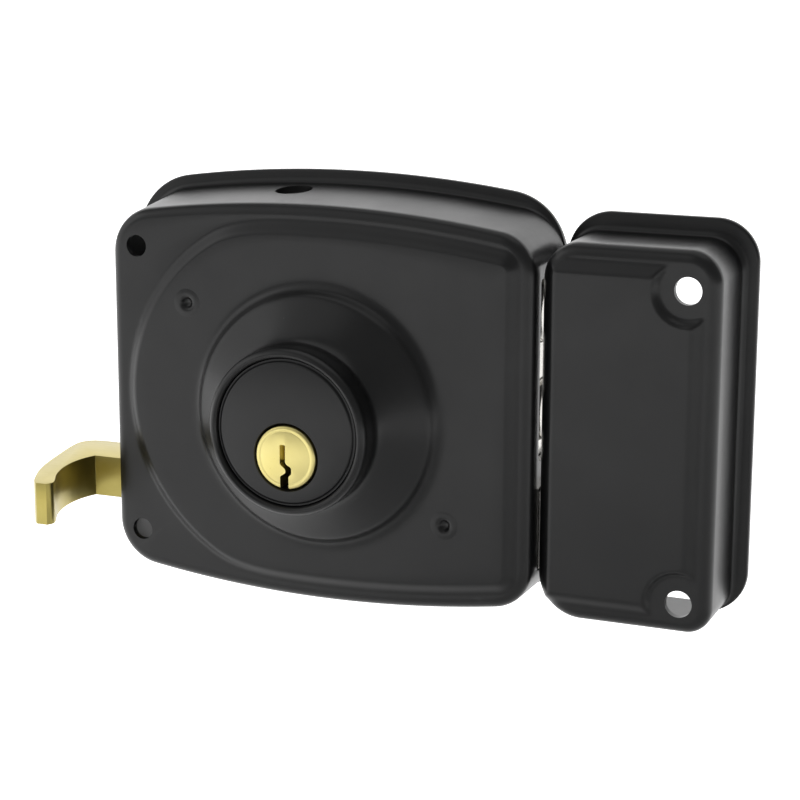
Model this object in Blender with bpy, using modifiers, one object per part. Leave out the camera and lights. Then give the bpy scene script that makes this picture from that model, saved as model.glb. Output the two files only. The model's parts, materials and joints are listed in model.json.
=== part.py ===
"""Rim night latch: a surface-mounted door lock with a sprung latch, two deadbolt pins, an inside
cylinder and the keeper that stands on the door frame.

+X points to the keeper, +Y into the door, +Z up. The door's face is y = 0, and the origin is on it,
midway between the two screw holes at the left of the case. The latch is out and the deadbolt is in.
"""
from math import acos, asin, cos, pi, radians, sin, sqrt

import bmesh
import bpy
from mathutils import Matrix, Vector

MM = 0.001
GAP = 0.3 * MM          # play between pieces that touch
THROUGH = 1.0 * MM      # how far a cutter runs past the face that it cuts

# Case: drawn steel, open towards the door, with a rim turned out at the top, bottom and left
CASE_LEFT = -5.9 * MM
CASE_RIGHT = 85.65 * MM
CASE_MIDDLE = (CASE_LEFT + CASE_RIGHT) / 2
CASE_DEPTH = 21.5 * MM
CASE_HALF_HEIGHT = 40.7 * MM
CASE_ARCH = 252.0 * MM          # radius of the arched top and bottom edges
CASE_CORNER_LEFT = 9.6 * MM
CASE_CORNER_RIGHT = 8.5 * MM
SHEET = 1.4 * MM
EDGE_BEND = 2.2 * MM            # outer bend radius round the front
DRAFT = 1.6 * MM                # how far the top and left walls lean out towards the door
RIM = 2.9 * MM
LOWER_SHARE = 0.3               # of the lean and the rim that the bottom wall has
RIM_FOOT = -2.8 * MM            # where the walls turn out into the rim
PANEL_RAISE = 1.5 * MM
PANEL_SLOPE = 3.0 * MM
PANEL_INSET = 0.4 * MM          # how far the sheet's rear corners sit inside its front ones
PANEL_MARGIN = 3.0 * MM         # from the case's arched edges to the foot of the panel
PANEL_ARC = 39.5 * MM           # radius of the panel's round left end
PANEL_ARC_X = 36.8 * MM
PANEL_ARC_END = 25.0 * MM       # where the round end runs into the arched edge
PANEL_RIGHT = 83.4 * MM
SCREW_HOLE_Z = 30.1 * MM
SCREW_HOLE_R = 2.25 * MM
WALL_HOLE_X = 29.4 * MM         # hole in the top wall, over the upper cover screw
WALL_HOLE_Y = -8.1 * MM
WALL_HOLE_R = 3.9 * MM

# Cylinder: a round body through the case's boss, with the plug low in its face
CYLINDER_X = 41.0 * MM
CYLINDER_Z = -1.6 * MM
CYLINDER_R = 14.5 * MM
CYLINDER_REAR_R = 12.5 * MM
CYLINDER_FACE = -37.8 * MM
CYLINDER_STEP = -18.4 * MM
CYLINDER_REAR = -12.5 * MM
PLUG_Z = -6.5 * MM
PLUG_R = 6.35 * MM
PLUG_BORE_R = PLUG_R + GAP
PLUG_FACE = -38.1 * MM
CHAMBER_R = 1.55 * MM
PIN_R = 1.25 * MM
PIN_COUNT = 5
PIN_FIRST_Y = -34.6 * MM
PIN_PITCH = 3.6 * MM
KEY_PIN_LENGTHS = [length * MM for length in (3.6, 5.0, 4.2, 5.6, 4.6)]
DRIVER_LENGTH = 4.5 * MM
CHAMBER_FLOOR = PLUG_Z - 1.0 * MM
COVER_BOTTOM = 11.4 * MM        # underside of the strip that closes the chambers

# Deadbolt: two pins on a carriage that the plug's cam throws
THROW = 16.0 * MM
BOLT_Y = -9.85 * MM
BOLT_R = 6.1 * MM
BOLT_HEIGHTS = {"upper": 21.0 * MM, "lower": 1.3 * MM}
BOLT_TIP = CASE_RIGHT - 0.15 * MM
CARRIAGE_FRONT = -6.6 * MM
CARRIAGE_REAR = -4.6 * MM
CARRIAGE_LEFT = 14.0 * MM
CARRIAGE_TOP = 27.0 * MM
CARRIAGE_BOTTOM = -3.2 * MM     # over the way of the outside cylinder's tail bar
EAR_LEFT = 57.0 * MM
EAR_RIGHT = 60.0 * MM
CAM_REACH = THROW / sqrt(2)     # a quarter turn of the cam's finger moves the carriage by the throw
FINGER_R = 2.0 * MM
POST_X = 46.0 * MM
POST_HEIGHTS = {"upper": 23.0 * MM, "lower": 13.0 * MM}
POST_R = 1.5 * MM
GUIDE_LEFT = 82.3 * MM
GUIDE_RIGHT = 83.9 * MM
GUIDE_FOOT_LEFT = 74.0 * MM
GUIDE_FRONT = -19.4 * MM
GUIDE_RIVET_X = 77.5 * MM
GUIDE_RIVET_HEIGHTS = {"upper": 11.15 * MM, "lower": -6.8 * MM}
BOLT_WINDOW_FRONT = -16.6 * MM
BOLT_WINDOW_REAR = -3.2 * MM
BOLT_WINDOW_LOW = -8.0 * MM
BOLT_WINDOW_HIGH = 28.4 * MM
DETENT_POST = (11.0 * MM, 33.0 * MM)
DETENT_NOSE_X = 35.0 * MM
LEAF = 0.6 * MM
LEAF_FRONT = -8.4 * MM
LEAF_REAR = -4.4 * MM

# Latch: the hook, a bar and the bolt in one line along the bottom of the case
LATCH_Z = -22.0 * MM
LATCH_HALF = 8.2 * MM
LATCH_FRONT = -15.6 * MM
LATCH_REAR = -5.0 * MM
LATCH_LEFT = 62.0 * MM
LATCH_TIP = 97.65 * MM
BAR_FRONT = -11.2 * MM
BAR_REAR = -8.4 * MM
BAR_HALF = 2.5 * MM
BAR_LEFT = 5.0 * MM
BAR_RIGHT = 69.7 * MM
HOOK_HALF = 4.35 * MM
HOOK_FRONT = -13.5 * MM
HOOK_REAR = -1.8 * MM
HOOK_RIGHT = 14.0 * MM
BRACKET_LEFT = 22.3 * MM
BRACKET_RIGHT = 23.8 * MM
RIVET_R = 1.2 * MM
RIVET_REAR = -0.1 * MM          # the riveted ends stop just short of the door

# Yoke: the bar behind the panel that holds the cylinder, on two studs staked in the panel
STUDS = {"upper": (12.2 * MM, 19.4 * MM), "lower": (68.4 * MM, -21.2 * MM)}
YOKE_FRONT = -18.1 * MM
YOKE_REAR = -16.6 * MM

# Back plate, inside the rim
PLATE = 1.5 * MM
TAIL_HOLE_R = 8.0 * MM
LUG_HALF = 4.0 * MM

# Keeper: its own drawn box on the door frame
KEEPER_LEFT = 86.0 * MM
KEEPER_RIGHT = 121.3 * MM
KEEPER_Z = -1.5 * MM
KEEPER_HALF = 37.6 * MM
KEEPER_DEPTH = 18.0 * MM
KEEPER_CORNERS = (5.2 * MM, 6.5 * MM, 7.4 * MM, 9.0 * MM)    # from the lower right round to the lower left
KEEPER_BEND = 2.4 * MM
KEEPER_RIM_RIGHT = 3.2 * MM
KEEPER_RIM_TOP = 3.9 * MM
KEEPER_RIM_BOTTOM = 0.4 * MM
KEEPER_RIM_CORNERS = (3.8 * MM, 2.0 * MM, 1.6 * MM, 0.0)    # how much rounder than the walls' corners
KEEPER_RAISE = 1.2 * MM
KEEPER_SLOPE = 2.2 * MM
KEEPER_PANEL_SIDE = 2.4 * MM    # from the walls to the foot of the panel
KEEPER_PANEL_END = 3.0 * MM
KEEPER_PANEL_CORNER = 4.8 * MM
KEEPER_MOUTH_FRONT = 1.7 * MM   # behind the keeper's front
KEEPER_MOUTH_END = 5.2 * MM
KEEPER_HOLE_X = 115.0 * MM
KEEPER_HOLE_Z = -2.3 * MM       # midway between the two screw holes
KEEPER_HOLE_SPACING = 61.4 * MM
KEEPER_HOLE_R = 2.8 * MM
POCKET_R = 5.6 * MM

MATERIALS = {
    "black_paint": ((0.030, 0.031, 0.033), 0.38, 0.0),
    "brass": ((0.78, 0.62, 0.26), 0.24, 1.0),
    "nickel": ((0.74, 0.73, 0.70), 0.22, 1.0),
    "steel": ((0.48, 0.48, 0.47), 0.38, 1.0),
    "spring_steel": ((0.36, 0.37, 0.39), 0.30, 1.0),
}


# ---------------------------------------------------------------- scene and materials

def clear_scene():
    for thing in list(bpy.data.objects):
        bpy.data.objects.remove(thing, do_unlink=True)


def new_collection(name):
    collection = bpy.data.collections.new(name)
    bpy.context.scene.collection.children.link(collection)
    return collection


def make_material(name):
    colour, roughness, metallic = MATERIALS[name]
    material = bpy.data.materials.new(name)
    material.use_nodes = True
    shader = material.node_tree.nodes["Principled BSDF"]
    shader.inputs["Base Color"].default_value = (*colour, 1.0)
    shader.inputs["Roughness"].default_value = roughness
    shader.inputs["Metallic"].default_value = metallic
    return material


def add_piece(name, mesh, finish=None):
    """An object from a mesh: a part with its finish, or a cutter where finish is None."""
    piece = bpy.data.objects.new(name, mesh)
    if finish is None:
        cutters.objects.link(piece)
        piece.hide_render = True
        piece.display_type = "WIRE"
    else:
        parts.objects.link(piece)
        mesh.materials.append(materials[finish])
    return piece


def add_joint_empty(name, location):
    empty = bpy.data.objects.new(name, None)
    empty.location = location
    parts.objects.link(empty)
    return empty


def attach(pieces, empty):
    """Parents pieces to a joint's empty and leaves them where they are."""
    for piece in pieces:
        piece.parent = empty
        piece.matrix_parent_inverse = Matrix.Translation(empty.location).inverted()


# ---------------------------------------------------------------- modelling tools

def boolean(piece, other, operation):
    modifier = piece.modifiers.new(f"{operation.lower()} {other.name}", "BOOLEAN")
    modifier.operation = operation
    modifier.object = other
    modifier.solver = "EXACT"


def cut(piece, *others):
    for other in others:
        boolean(piece, other, "DIFFERENCE")


def join(piece, *others):
    for other in others:
        boolean(piece, other, "UNION")


def round_edges(piece, width, segments=2, angle=40):
    bevel = piece.modifiers.new("rounded edges", "BEVEL")
    bevel.width = width
    bevel.segments = segments
    bevel.limit_method = "ANGLE"
    bevel.angle_limit = radians(angle)


def box(name, low, high, finish=None, rounding=0.0):
    mesh = bpy.data.meshes.new(name)
    form = bmesh.new()
    bmesh.ops.create_cube(form, size=1.0)
    size = Vector(high) - Vector(low)
    middle = (Vector(high) + Vector(low)) / 2
    bmesh.ops.scale(form, vec=size, verts=form.verts)
    bmesh.ops.translate(form, vec=middle, verts=form.verts)
    form.to_mesh(mesh)
    form.free()
    piece = add_piece(name, mesh, finish)
    if rounding:
        round_edges(piece, rounding)
    return piece


def turned(name, profile, base, direction, finish=None, steps=32):
    """A turned shape. The profile's points are (radius, distance along direction), from its far end
    back to its near end, and a last point that equals the first closes a ring."""
    closed = profile[0] == profile[-1]
    points = profile[:-1] if closed else profile
    mesh = bpy.data.meshes.new(name)
    form = bmesh.new()
    verts = [form.verts.new((radius, 0.0, along)) for radius, along in points]
    for first, second in zip(verts, verts[1:] + (verts[:1] if closed else [])):
        form.edges.new((first, second))
    form.to_mesh(mesh)
    form.free()
    piece = add_piece(name, mesh, finish)
    screw = piece.modifiers.new("turned", "SCREW")
    screw.steps = steps
    screw.render_steps = steps
    screw.use_merge_vertices = True
    screw.merge_threshold = 0.00001
    screw.use_smooth_shade = True
    piece.rotation_euler = Vector(direction).to_track_quat("Z", "Y").to_euler()
    piece.location = base
    return piece


def rod(name, radius, base, length, direction, finish=None, steps=24):
    """A plain round bar or, without a finish, a drill."""
    profile = [(0.0, length), (radius, length), (radius, 0.0), (0.0, 0.0)]
    return turned(name, profile, base, direction, finish, steps)


def drill(name, radius, x, z, front=-0.06, rear=0.01, steps=24):
    """A round cutter along Y."""
    return rod(name, radius, (x, front, z), rear - front, (0, 1, 0), steps=steps)


def curve_to_mesh(name, curve, finish):
    """A curve's solid as a mesh, with its caps welded on."""
    guide = bpy.data.objects.new(name + " guide", curve)
    bpy.context.scene.collection.objects.link(guide)
    evaluated = guide.evaluated_get(bpy.context.evaluated_depsgraph_get())
    mesh = bpy.data.meshes.new_from_object(evaluated)
    form = bmesh.new()
    form.from_mesh(mesh)
    bmesh.ops.remove_doubles(form, verts=form.verts, dist=0.000001)
    bmesh.ops.recalc_face_normals(form, faces=form.faces)
    form.to_mesh(mesh)
    form.free()
    bpy.data.objects.remove(guide, do_unlink=True)
    mesh.materials.clear()
    return add_piece(name, mesh, finish)


def sheet(name, outlines, low, high, finish=None, along="Y"):
    """A flat plate between low and high along Y or Z: its outline, then its holes, as (across, up)
    points, which are (x, z) along Y and (x, y) along Z."""
    curve = bpy.data.curves.new(name, "CURVE")
    curve.dimensions = "2D"
    curve.fill_mode = "BOTH"
    curve.extrude = (high - low) / 2
    for outline in outlines:
        spline = curve.splines.new("POLY")
        spline.points.add(len(outline) - 1)
        for point, (across, up) in zip(spline.points, outline):
            point.co = (across, up, 0.0, 1.0)
        spline.use_cyclic_u = True
    piece = curve_to_mesh(name, curve, finish)
    middle = (low + high) / 2
    if along == "Y":
        place = Matrix.Translation((0, middle, 0)) @ Matrix.Rotation(pi / 2, 4, "X")
    else:
        place = Matrix.Translation((0, 0, middle))
    piece.data.transform(place)
    return piece


def loft(name, sections, finish=None):
    """A closed solid through outlines of equal length, each an (outline, y) pair."""
    mesh = bpy.data.meshes.new(name)
    form = bmesh.new()
    rings = [[form.verts.new((x, y, z)) for x, z in outline] for outline, y in sections]
    for lower, upper in zip(rings, rings[1:]):
        for i in range(len(lower)):
            j = (i + 1) % len(lower)
            form.faces.new((lower[i], lower[j], upper[j], upper[i]))
    form.faces.new(rings[0])
    form.faces.new(rings[-1])
    bmesh.ops.recalc_face_normals(form, faces=form.faces)
    form.to_mesh(mesh)
    form.free()
    mesh.shade_smooth()
    mesh.set_sharp_from_angle(angle=radians(35))
    return add_piece(name, mesh, finish)


def coil(name, base, radius, wire, length, turns, axis, finish, points_per_turn=10):
    """A compression spring along X or Z, with its wire inside the given length."""
    curve = bpy.data.curves.new(name, "CURVE")
    curve.dimensions = "3D"
    curve.bevel_depth = wire
    curve.bevel_resolution = 0
    curve.use_fill_caps = True
    spline = curve.splines.new("POLY")
    count = turns * points_per_turn
    spline.points.add(count)
    run = length - 2 * wire
    for i, point in enumerate(spline.points):
        angle = 2 * pi * i / points_per_turn
        along = wire + run * i / count
        around = (radius * cos(angle), radius * sin(angle))
        offset = (along, *around) if axis == "X" else (*around, along)
        point.co = (*(Vector(base) + Vector(offset)), 1.0)
    return curve_to_mesh(name, curve, finish)


# ---------------------------------------------------------------- outlines

def arc(centre_x, centre_z, radius, start, end, count):
    """Points on an arc, from angle start to angle end in radians."""
    steps = [start + (end - start) * i / (count - 1) for i in range(count)]
    return [(centre_x + radius * cos(a), centre_z + radius * sin(a)) for a in steps]


def circle(x, z, radius, count=24):
    return arc(x, z, radius, 0.0, 2 * pi * (count - 1) / count, count)


def slot(x, z, half_length, radius, count=7):
    """A slot along X with round ends."""
    return (arc(x + half_length, z, radius, -pi / 2, pi / 2, count)
            + arc(x - half_length, z, radius, pi / 2, 3 * pi / 2, count))


def rectangle(left, right, bottom, top):
    return [(left, bottom), (right, bottom), (right, top), (left, top)]


def round_rectangle(left, right, bottom, top, radii, count=6):
    """A rectangle whose corners have the radii, from the lower right one round to the lower left."""
    points = []
    corners = ((right, bottom, -1, 1), (right, top, -1, -1), (left, top, 1, -1), (left, bottom, 1, 1))
    for quarter, ((x, z, inward, upward), radius) in enumerate(zip(corners, radii)):
        start = (quarter - 1) * pi / 2
        points += arc(x + inward * radius, z + upward * radius, radius, start, start + pi / 2, count)
    return points


def arched_line(left, right, arch, corner_left, corner_right):
    """The upper half of the case's outline: straight sides, an arched top and round corners."""
    drop = CASE_ARCH - CASE_HALF_HEIGHT

    def corner(x, radius):
        """Centre height of a corner that is tangent to the arch, and the angle of that point."""
        reach = arch - radius
        height = sqrt(reach ** 2 - (x - CASE_MIDDLE) ** 2)
        return height - drop, acos((x - CASE_MIDDLE) / reach)

    right_z, right_angle = corner(right - corner_right, corner_right)
    left_z, left_angle = corner(left + corner_left, corner_left)
    top_right = arc(right - corner_right, right_z, corner_right, 0.0, right_angle, 7)
    top_left = arc(left + corner_left, left_z, corner_left, left_angle, pi, 7)
    top = arc(CASE_MIDDLE, -drop, arch, right_angle, left_angle, 13)[1:-1]
    return top_right + top + top_left


def case_outline(inset=0.0, spread=0.0):
    """The case's outline set in all round, then spread at the top and left, and less at the bottom."""
    halves = []
    for rise in (spread - inset, LOWER_SHARE * spread - inset):
        halves.append(arched_line(CASE_LEFT + inset - spread, CASE_RIGHT - inset, CASE_ARCH + rise,
                                  CASE_CORNER_LEFT + rise, CASE_CORNER_RIGHT + rise))
    return halves[0] + [(x, -z) for x, z in reversed(halves[1])]


def panel_outline(inset=0.0):
    """The raised panel: a round left end, arched edges and a straight right edge."""
    radius = PANEL_ARC - inset
    arch = CASE_ARCH - PANEL_MARGIN - inset
    drop = CASE_ARCH - CASE_HALF_HEIGHT
    corner = 4.0 * MM
    corner_x = PANEL_RIGHT - inset - corner
    corner_z = sqrt((arch - corner) ** 2 - (corner_x - CASE_MIDDLE) ** 2) - drop
    corner_angle = acos((corner_x - CASE_MIDDLE) / (arch - corner))
    arch_end = acos((PANEL_ARC_END - CASE_MIDDLE) / arch)
    upper = (arc(corner_x, corner_z, corner, 0.0, corner_angle, 5)
             + arc(CASE_MIDDLE, -drop, arch, corner_angle, arch_end, 6)[1:]
             + arc(PANEL_ARC_X, 0.0, radius, radians(109), pi, 14))
    return upper + [(x, -z) for x, z in reversed(upper[:-1])]


def bend_sections(outline_at, inset, front, radius, angles):
    """Sections round the front bend, where outline_at gives the outline for an inset."""
    sections = []
    for angle in angles:
        turn = radians(angle)
        depth = front + radius * (1 - sin(turn))
        sections.append((outline_at(inset + radius * (1 - cos(turn))), depth))
    return sections


# ---------------------------------------------------------------- case and back plate

def make_case_cover():
    front = -CASE_DEPTH
    rim = case_outline(0.0, DRAFT + RIM)
    skin = [(rim, 0.0), (rim, -SHEET), (case_outline(0.0, DRAFT + 0.6 * MM), -SHEET - 0.3 * MM),
            (case_outline(0.0, DRAFT), RIM_FOOT)]
    skin += bend_sections(case_outline, 0.0, front, EDGE_BEND, (0, 30, 60, 90))
    cover = loft("case_cover", skin, "black_paint")
    panel = loft("panel", [(panel_outline(), front + 0.5 * MM), (panel_outline(), front + 0.02 * MM),
                           (panel_outline(PANEL_SLOPE), front - PANEL_RAISE)])
    join(cover, panel)

    hollow = [(case_outline(SHEET, DRAFT), THROUGH), (case_outline(SHEET, DRAFT), RIM_FOOT)]
    hollow += bend_sections(case_outline, SHEET, front + SHEET, EDGE_BEND - SHEET, (0, 45, 90))
    panel_back = front + SHEET
    panel_hollow = [(panel_outline(PANEL_INSET), panel_back + 0.4 * MM),
                    (panel_outline(PANEL_INSET), panel_back - 0.02 * MM),
                    (panel_outline(PANEL_INSET + PANEL_SLOPE), panel_back - PANEL_RAISE)]
    cut(cover, loft("case hollow", hollow), loft("panel hollow", panel_hollow),
        drill("boss opening", 25.7 * MM, CYLINDER_X, CYLINDER_Z, rear=-0.015, steps=40))
    boss = turned("boss", boss_profile(), (CYLINDER_X, front, CYLINDER_Z), (0, -1, 0), steps=40)
    join(cover, boss)

    for sign in (-1, 1):
        cut(cover, drill("case screw hole", SCREW_HOLE_R, 0.0, sign * SCREW_HOLE_Z, rear=-0.015))
        base = (WALL_HOLE_X, WALL_HOLE_Y, sign * (CASE_HALF_HEIGHT - 4 * MM))
        cut(cover, rod("wall hole", WALL_HOLE_R, base, 8 * MM, (0, 0, sign)))
    for x, z in STUDS.values():
        cut(cover, drill("stud hole", 1.7 * MM, x, z, rear=-0.019))
    wall_left = CASE_RIGHT - 2 * SHEET
    wall_right = CASE_RIGHT + THROUGH
    cut(cover,
        box("bolt window", (wall_left, BOLT_WINDOW_FRONT, BOLT_WINDOW_LOW),
            (wall_right, BOLT_WINDOW_REAR, BOLT_WINDOW_HIGH)),
        box("latch window", (wall_left, LATCH_FRONT - 0.5 * MM, LATCH_Z - LATCH_HALF - 0.5 * MM),
            (wall_right, LATCH_REAR + 1.0 * MM, LATCH_Z + LATCH_HALF + 0.5 * MM)),
        box("hook slot",
            (CASE_LEFT - DRAFT - RIM - THROUGH, HOOK_FRONT - 0.6 * MM, LATCH_Z - HOOK_HALF - 0.6 * MM),
            (CASE_LEFT + 2 * SHEET, THROUGH, LATCH_Z + HOOK_HALF + 0.6 * MM)))
    return cover


def boss_profile():
    """The boss as a closed ring of (radius, height over the case's front), outside then inside."""
    outside = [(15.0, 17.0), (15.4, 17.05), (16.3, 16.6), (16.8, 15.8), (16.7, 10.6), (17.0, 9.7),
               (17.9, 8.6), (20.6, 6.4), (24.2, 4.2), (25.2, 3.4), (26.6, 1.2), (26.6, 0.4)]
    inside = [(24.8, 0.4), (24.4, 1.8), (23.6, 2.8), (19.7, 5.1), (15.4, 8.3), (14.8, 9.3), (14.8, 16.3)]
    ring = [(radius * MM, height * MM) for radius, height in outside + inside]
    return ring + ring[:1]


def make_back_plate():
    outline = case_outline(SHEET + 0.5 * MM, DRAFT)
    holes = [circle(CYLINDER_X, PLUG_Z, TAIL_HOLE_R, 28)]
    holes += [circle(0.0, sign * SCREW_HOLE_Z, SCREW_HOLE_R, 20) for sign in (-1, 1)]
    riveted = [(POST_X, z) for z in POST_HEIGHTS.values()]
    riveted += [(GUIDE_RIVET_X, z) for z in GUIDE_RIVET_HEIGHTS.values()]
    riveted += [(27.5 * MM, LATCH_Z), (DETENT_POST[0], DETENT_POST[1])]
    holes += [circle(x, z, RIVET_R + GAP, 12) for x, z in riveted]
    plate = sheet("back_plate", [outline] + holes, -PLATE, 0.0, "steel")
    for sign in (-1, 1):
        near, far = sorted((sign * 36.6 * MM, sign * 38.6 * MM))
        lug = box("lug", (WALL_HOLE_X - LUG_HALF, -17.0 * MM, near), (WALL_HOLE_X + LUG_HALF, -0.5 * MM, far))
        join(plate, lug)
        base = (WALL_HOLE_X, WALL_HOLE_Y, sign * 35 * MM)
        cut(plate, rod("lug hole", 1.6 * MM, base, 5 * MM, (0, 0, sign)))
    return plate


def make_cover_screws():
    for name, sign in (("upper", 1), ("lower", -1)):
        profile = [(0.0, 6.2 * MM), (2.5 * MM, 6.2 * MM), (2.9 * MM, 5.8 * MM), (2.9 * MM, 4.9 * MM),
                   (1.3 * MM, 4.9 * MM), (1.3 * MM, 0.0), (0.0, -0.6 * MM)]
        base = (WALL_HOLE_X, WALL_HOLE_Y, sign * 34.0 * MM)
        screw = turned(f"cover_screw_{name}", profile, base, (0, 0, sign), "steel", 20)
        far = sorted((sign * 39.5 * MM, sign * 41.0 * MM))
        cut(screw, box("driver slot", (WALL_HOLE_X - 4 * MM, WALL_HOLE_Y - 0.4 * MM, far[0]),
                       (WALL_HOLE_X + 4 * MM, WALL_HOLE_Y + 0.4 * MM, far[1])))


# ---------------------------------------------------------------- cylinder

def pin_positions():
    return [PIN_FIRST_Y + i * PIN_PITCH for i in range(PIN_COUNT)]


def make_cylinder_body():
    """The round body: front part, a shoulder inside the boss, and a rear part through the yoke."""
    radii = [(0.0, CYLINDER_FACE), (CYLINDER_R - 0.5 * MM, CYLINDER_FACE),
             (CYLINDER_R, CYLINDER_FACE + 0.5 * MM), (CYLINDER_R, -28.4 * MM), (16.2 * MM, -28.0 * MM),
             (16.2 * MM, -26.6 * MM), (CYLINDER_R, -26.6 * MM),
             (CYLINDER_R, CYLINDER_STEP), (CYLINDER_REAR_R, CYLINDER_STEP), (CYLINDER_REAR_R, CYLINDER_REAR),
             (0.0, CYLINDER_REAR)]
    profile = [(radius, -y) for radius, y in radii]
    body = turned("cylinder_body", profile, (CYLINDER_X, 0.0, CYLINDER_Z), (0, -1, 0), "black_paint", 40)
    cut(body, drill("plug bore", PLUG_BORE_R, CYLINDER_X, PLUG_Z, steps=36))
    for y in pin_positions():
        base = (CYLINDER_X, y, PLUG_Z)
        cut(body, rod("chamber", CHAMBER_R, base, 22 * MM, (0, 0, 1), steps=12))
    cut(body, box("cover groove", (CYLINDER_X - 2.4 * MM, -36.7 * MM, COVER_BOTTOM - GAP),
                  (CYLINDER_X + 2.4 * MM, -18.0 * MM, 20 * MM)))
    return body


def make_plug():
    depths = [(0.0, PLUG_FACE), (PLUG_R - 0.35 * MM, PLUG_FACE), (PLUG_R, PLUG_FACE + 0.35 * MM),
              (PLUG_R, CYLINDER_REAR), (0.0, CYLINDER_REAR)]
    profile = [(radius, -y) for radius, y in depths]
    plug = turned("cylinder_plug", profile, (CYLINDER_X, 0.0, PLUG_Z), (0, -1, 0), "brass", 36)
    keyway = [(-1.2, 2.4), (0.0, 2.4), (0.0, -1.2), (1.3, -2.0), (1.3, -3.3), (0.7, -3.7), (0.7, -7.2),
              (-1.1, -7.2), (-1.1, -3.9), (0.1, -3.0), (0.1, -2.2), (-1.2, -1.2)]
    outline = [(CYLINDER_X + across * MM, PLUG_Z + up * MM) for across, up in reversed(keyway)]
    cut(plug, sheet("keyway", [outline], -40 * MM, -11 * MM))
    for y in pin_positions():
        cut(plug, rod("plug chamber", CHAMBER_R, (CYLINDER_X, y, CHAMBER_FLOOR), 9 * MM, (0, 0, 1), steps=12))
    for offset in (-3.6 * MM, 3.6 * MM):
        cut(plug, drill("cam screw hole", 1.1 * MM, CYLINDER_X + offset, PLUG_Z, front=-17.5 * MM, steps=16))
    return plug


def make_pin_stacks():
    """Key pins, driver pins and springs, with their joint at the plug's surface."""
    key_top = PLUG_Z + PLUG_R - 0.35 * MM
    driver_bottom = PLUG_Z + PLUG_BORE_R + GAP
    spring_bottom = driver_bottom + DRIVER_LENGTH + GAP
    key_pins = []
    for i, y in enumerate(pin_positions()):
        length = KEY_PIN_LENGTHS[i]
        number = i + 1
        point = [(0.0, length), (PIN_R, length), (PIN_R, 0.8 * MM), (0.35 * MM, 0.0), (0.0, 0.0)]
        base = (CYLINDER_X, y, key_top - length)
        key_pins.append(turned(f"key_pin_{number}", point, base, (0, 0, 1), "brass", 12))
        base = (CYLINDER_X, y, driver_bottom)
        rod(f"driver_pin_{number}", PIN_R, base, DRIVER_LENGTH, (0, 0, 1), "brass", 12)
        coil(f"tumbler_spring_{number}", (CYLINDER_X, y, spring_bottom), 0.92 * MM, 0.18 * MM,
             COVER_BOTTOM - GAP - spring_bottom, 5, "Z", "spring_steel", 7)
    return key_pins


def make_chamber_cover():
    box("chamber_cover", (CYLINDER_X - 2.1 * MM, -36.4 * MM, COVER_BOTTOM),
        (CYLINDER_X + 2.1 * MM, CYLINDER_STEP - GAP, COVER_BOTTOM + 0.9 * MM), "brass")


def finger_place():
    """The cam finger's centre at rest, an eighth of a turn to the left of upright."""
    return CYLINDER_X - CAM_REACH * sin(pi / 4), PLUG_Z + CAM_REACH * cos(pi / 4)


def make_tail_cam():
    front = CYLINDER_REAR + GAP
    rear = front + 1.8 * MM
    finger_x, finger_z = finger_place()
    hub = 7.3 * MM
    end = 3.2 * MM
    lean = asin((hub - end) / CAM_REACH)
    middle = 3 * pi / 4
    outline = (arc(CYLINDER_X, PLUG_Z, hub, middle + pi / 2 - lean, middle + 3 * pi / 2 + lean, 22)
               + arc(finger_x, finger_z, end, middle - pi / 2 + lean, middle + pi / 2 - lean, 9))
    holes = [circle(CYLINDER_X + offset, PLUG_Z, 1.1 * MM, 16) for offset in (-3.6 * MM, 3.6 * MM)]
    cam = sheet("tail_cam", [outline] + holes, front, rear, "steel")
    base = (finger_x, front + 0.5 * MM, finger_z)
    finger = rod("finger", FINGER_R, base, -4.8 * MM - front - 0.5 * MM, (0, 1, 0))
    join(cam, finger)
    screws = []
    for name, offset in (("left", -3.6 * MM), ("right", 3.6 * MM)):
        profile = [(0.0, 7.2 * MM), (1.3 * MM, 7.2 * MM), (1.6 * MM, 6.9 * MM), (1.6 * MM, 6.2 * MM),
                   (0.8 * MM, 6.2 * MM), (0.8 * MM, 0.4 * MM), (0.4 * MM, 0.0), (0.0, 0.0)]
        base = (CYLINDER_X + offset, rear + GAP - 6.2 * MM, PLUG_Z)
        screws.append(turned(f"cam_screw_{name}", profile, base, (0, 1, 0), "steel", 12))
    return [cam] + screws


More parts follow.
